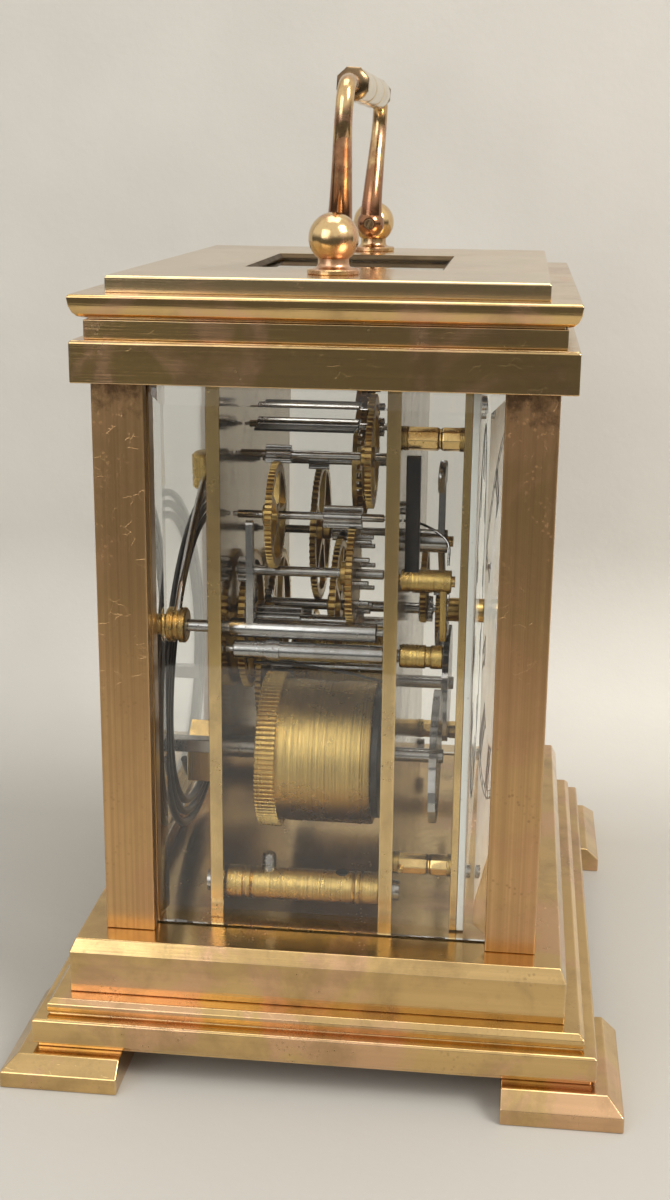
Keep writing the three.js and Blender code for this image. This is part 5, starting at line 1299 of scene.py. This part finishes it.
def makePlatform(s):
    x = s["x"]
    settle(fineCopy("platform", "plateBrass", 0.2), ["platform"])
    settle(fineCopy("balance_cock", "plateBrass", 0.2), ["balance_cock"])
    screws = Piece("platformScrews")
    addScrews(screws, [(x + dx, y, s["deck"]) for dx in (-10.5, 10.5) for y in (-11, 20.4)], "+z", 1.6)
    addScrews(screws, [(x - 11.4, s["balanceY"], 146.0)], "+z", 1.5)
    setting = [(0.75, 145.9), (1.5, 145.9), (1.5, 146.12), (0.75, 146.12)]
    lathe(screws, "z", (x, s["balanceY"], 0), setting, "steel", 32, True)
    turned(screws, "z", (x, s["balanceY"], 0), [(0.74, 145.95), (0.7, 146.05), (0.35, 146.1)], "ruby", 24)
    settle(screws.make(), [], "case")

    escape = Piece("escapeWheelFine")
    centre = (x, s["escapeY"], 0)
    turned(escape, "z", centre, [(0.3, 121.0), (0.42, 121.2), (0.42, 140.3), (0.25, 140.5)], "steel", 20)
    z0, z1 = s["wheelZ"], s["wheelZ"] + 0.6
    r = s["escape"]
    lathe(escape, "z", centre, [(r - 2, z0), (r - 1.3, z0), (r - 1.3, z1), (r - 2, z1)], "wheelBrass", 60, True)
    turned(escape, "z", centre, [(1.2, z0), (1.2, z1)], "wheelBrass", 24)
    addBars(escape, "z", centre, 4, 0.0, (1.0, r - 1.8), (0.35, 0.35), z0 + 0.03, z1 - 0.03, "wheelBrass")
    for k in range(15):
        angle = turn * k / 15
        tooth = ((r - 1.4, -0.07), (r, 0), (r - 0.05, 0.06), (r - 1.4, 0.12))
        prism(escape, "z", [polar(centre, radius, angle + lead) for radius, lead in tooth], z0, z1, "wheelBrass")
    leaves, pitch = s["escapeLeaves"], s["escapePinion"]
    tip = pitch + 0.35 * 2 * pitch / leaves
    first = math.pi / 2 + math.pi / leaves
    addBars(escape, "z", centre, leaves, first, (0.35, tip), (0.32, 0.16), 122.0, 125.4, "steel")
    settle(escape.make(30), ["escape_wheel"])
    settle(fineCopy("pallet_lever", "steel", 0.05), ["pallet_lever"])

    balance = Piece("balanceFine")
    centre = (x, s["balanceY"], 0)
    z0 = s["balanceZ"]
    r = s["balance"]
    lathe(balance, "z", centre, [(r - 1.1, z0), (r - 0.1, z0), (r, z0 + 0.1), (r, z0 + 0.8), (r - 0.1, z0 + 0.9),
                                 (r - 1.1, z0 + 0.9)], "turnedBrass", 96, True)
    turned(balance, "z", centre, [(1.2, z0 - 0.2), (1.2, z0 + 1.1)], "steel", 24)
    turned(balance, "z", centre, [(0.2, 137.85), (0.45, 138.1), (0.45, 144.1), (0.2, 144.45)], "steel", 20)
    addBars(balance, "z", centre, 2, 0.0, (1.0, r - 0.9), (0.75, 0.55), z0 + 0.1, z0 + 0.75, "turnedBrass")
    coil = [(*polar(centre, 1.3 + 3.6 * k / 240, turn * k / 34), z0 + 1.75) for k in range(241)]
    tube(balance, coil, 0.09, "bluedSteel", 5, Vector((0, 0, 1)))
    settle(balance.make(30), ["balance"])


makePlatform(platformSettings)

knob = Piece("doorKnob")
low, high = boxOf("door_frame")
knobX, knobZ = low[0] + 3.0, (low[2] + 1.4 + high[2] - 1.4) / 2
turned(knob, "y", (knobX, 0, knobZ), [(1.0, 40.3), (1.0, 41.6), (1.6, 41.8), (2.1, 42.3), (2.14, 43.2), (1.9, 43.8),
                                      (1.2, 44.2)], "handleBrass", 40)
addRing(knob, toothShape, 24, 2.0, 0.0, (knobX, 42.8, knobZ), (0.16, 0.9, 0.3), "handleBrass")
settle(knob.make(), [], "back_door")
print("platform and knob made")

# Stage and lights

stageSettings = {
    "floor": (0.40, 0.385, 0.355, 1), "wallLow": (0.52, 0.50, 0.46, 1), "wall": (0.62, 0.60, 0.555, 1),
    "wallX": 150.0, "cove": 60.0, "floorEnd": (0.06, 0.13),
    "front": -300.0, "halfWidth": 620.0, "wallTop": 620.0, "room": (1.0, 0.97, 0.92, 1),
    "roomLow": 0.13, "roomHigh": 0.92,
}


def makeStage(s):
    profile = [(s["front"], 0.0), (s["wallX"] - s["cove"], 0.0)]
    profile += [(s["wallX"] - s["cove"] + s["cove"] * math.sin(math.pi / 2 * k / 16),
                 s["cove"] * (1 - math.cos(math.pi / 2 * k / 16))) for k in range(1, 17)]
    profile.append((s["wallX"], s["wallTop"]))
    mesh = bpy.data.meshes.new("backdrop")
    points = [Vector((x, y, z)) * millimetre for x, z in profile for y in (-s["halfWidth"], s["halfWidth"])]
    faces = [(2 * k, 2 * k + 2, 2 * k + 3, 2 * k + 1) for k in range(len(profile) - 1)]
    mesh.from_pydata(points, [], faces)
    mesh.polygons.foreach_set("use_smooth", [True] * len(mesh.polygons))
    backdrop = bpy.data.objects.new("backdrop", mesh)
    bpy.context.scene.collection.objects.link(backdrop)
    material, tree, shader = makeMaterial("palePlaster")
    point = objectPoint(tree)
    soft = mapRange(tree, noise(tree, point, 9.0, 4, 0.5), 0.3, 0.7)
    across = put(tree, "ShaderNodeSeparateXYZ", {0: point}).outputs["X"]
    wall = mixColour(tree, soft, s["wallLow"], s["wall"])
    feed(tree, shader, {"Base Color": mixColour(tree, mapRange(tree, across, *s["floorEnd"]), s["floor"], wall),
                        "Roughness": 0.7})
    addBump(tree, shader, noise(tree, point, 300.0, 4), 0.15, 0.0006)
    facing = put(tree, "ShaderNodeNewGeometry")
    mixShaders(tree, facing.outputs["Backfacing"], shader, put(tree, "ShaderNodeBsdfTransparent"))
    mesh.materials.append(material)
    world = bpy.data.worlds.new("room")
    world.use_nodes = True
    tree = world.node_tree
    direction = put(tree, "ShaderNodeTexCoord").outputs["Generated"]
    height = put(tree, "ShaderNodeSeparateXYZ", {0: direction}).outputs["Z"]
    feed(tree, tree.nodes["Background"], {
        "Color": s["room"], "Strength": mapRange(tree, height, 0.03, 0.24, s["roomLow"], s["roomHigh"])})
    bpy.context.scene.world = world


lampSettings = {
    "key": {"place": (-420, -620, 760), "aim": (0, 0, 70), "size": 420, "power": 7.4, "colour": (1.0, 0.965, 0.91)},
    "fill": {"place": (-700, 420, 420), "aim": (0, 0, 80), "size": 520, "power": 2.0, "colour": (0.95, 0.97, 1.0)},
    "top": {"place": (60, 0, 900), "aim": (0, 0, 100), "size": 500, "power": 2.5, "colour": (1.0, 0.98, 0.95)},
}


def makeLamps(lamps):
    for name, s in lamps.items():
        data = bpy.data.lights.new(name, "AREA")
        data.shape = "SQUARE"
        data.size = s["size"] * millimetre
        data.energy = s["power"]
        data.color = s["colour"]
        lamp = bpy.data.objects.new(name, data)
        bpy.context.scene.collection.objects.link(lamp)
        place = Vector(s["place"]) * millimetre
        aim = Vector(s["aim"]) * millimetre - place
        lamp.matrix_world = Matrix.Translation(place) @ aim.to_track_quat("-Z", "Y").to_matrix().to_4x4()


makeStage(stageSettings)
makeLamps(lampSettings)
for shape in (toothShape, crownToothShape, screwShape):
    mesh = shape.data
    bpy.data.objects.remove(shape)
    bpy.data.meshes.remove(mesh)
print("stage made")
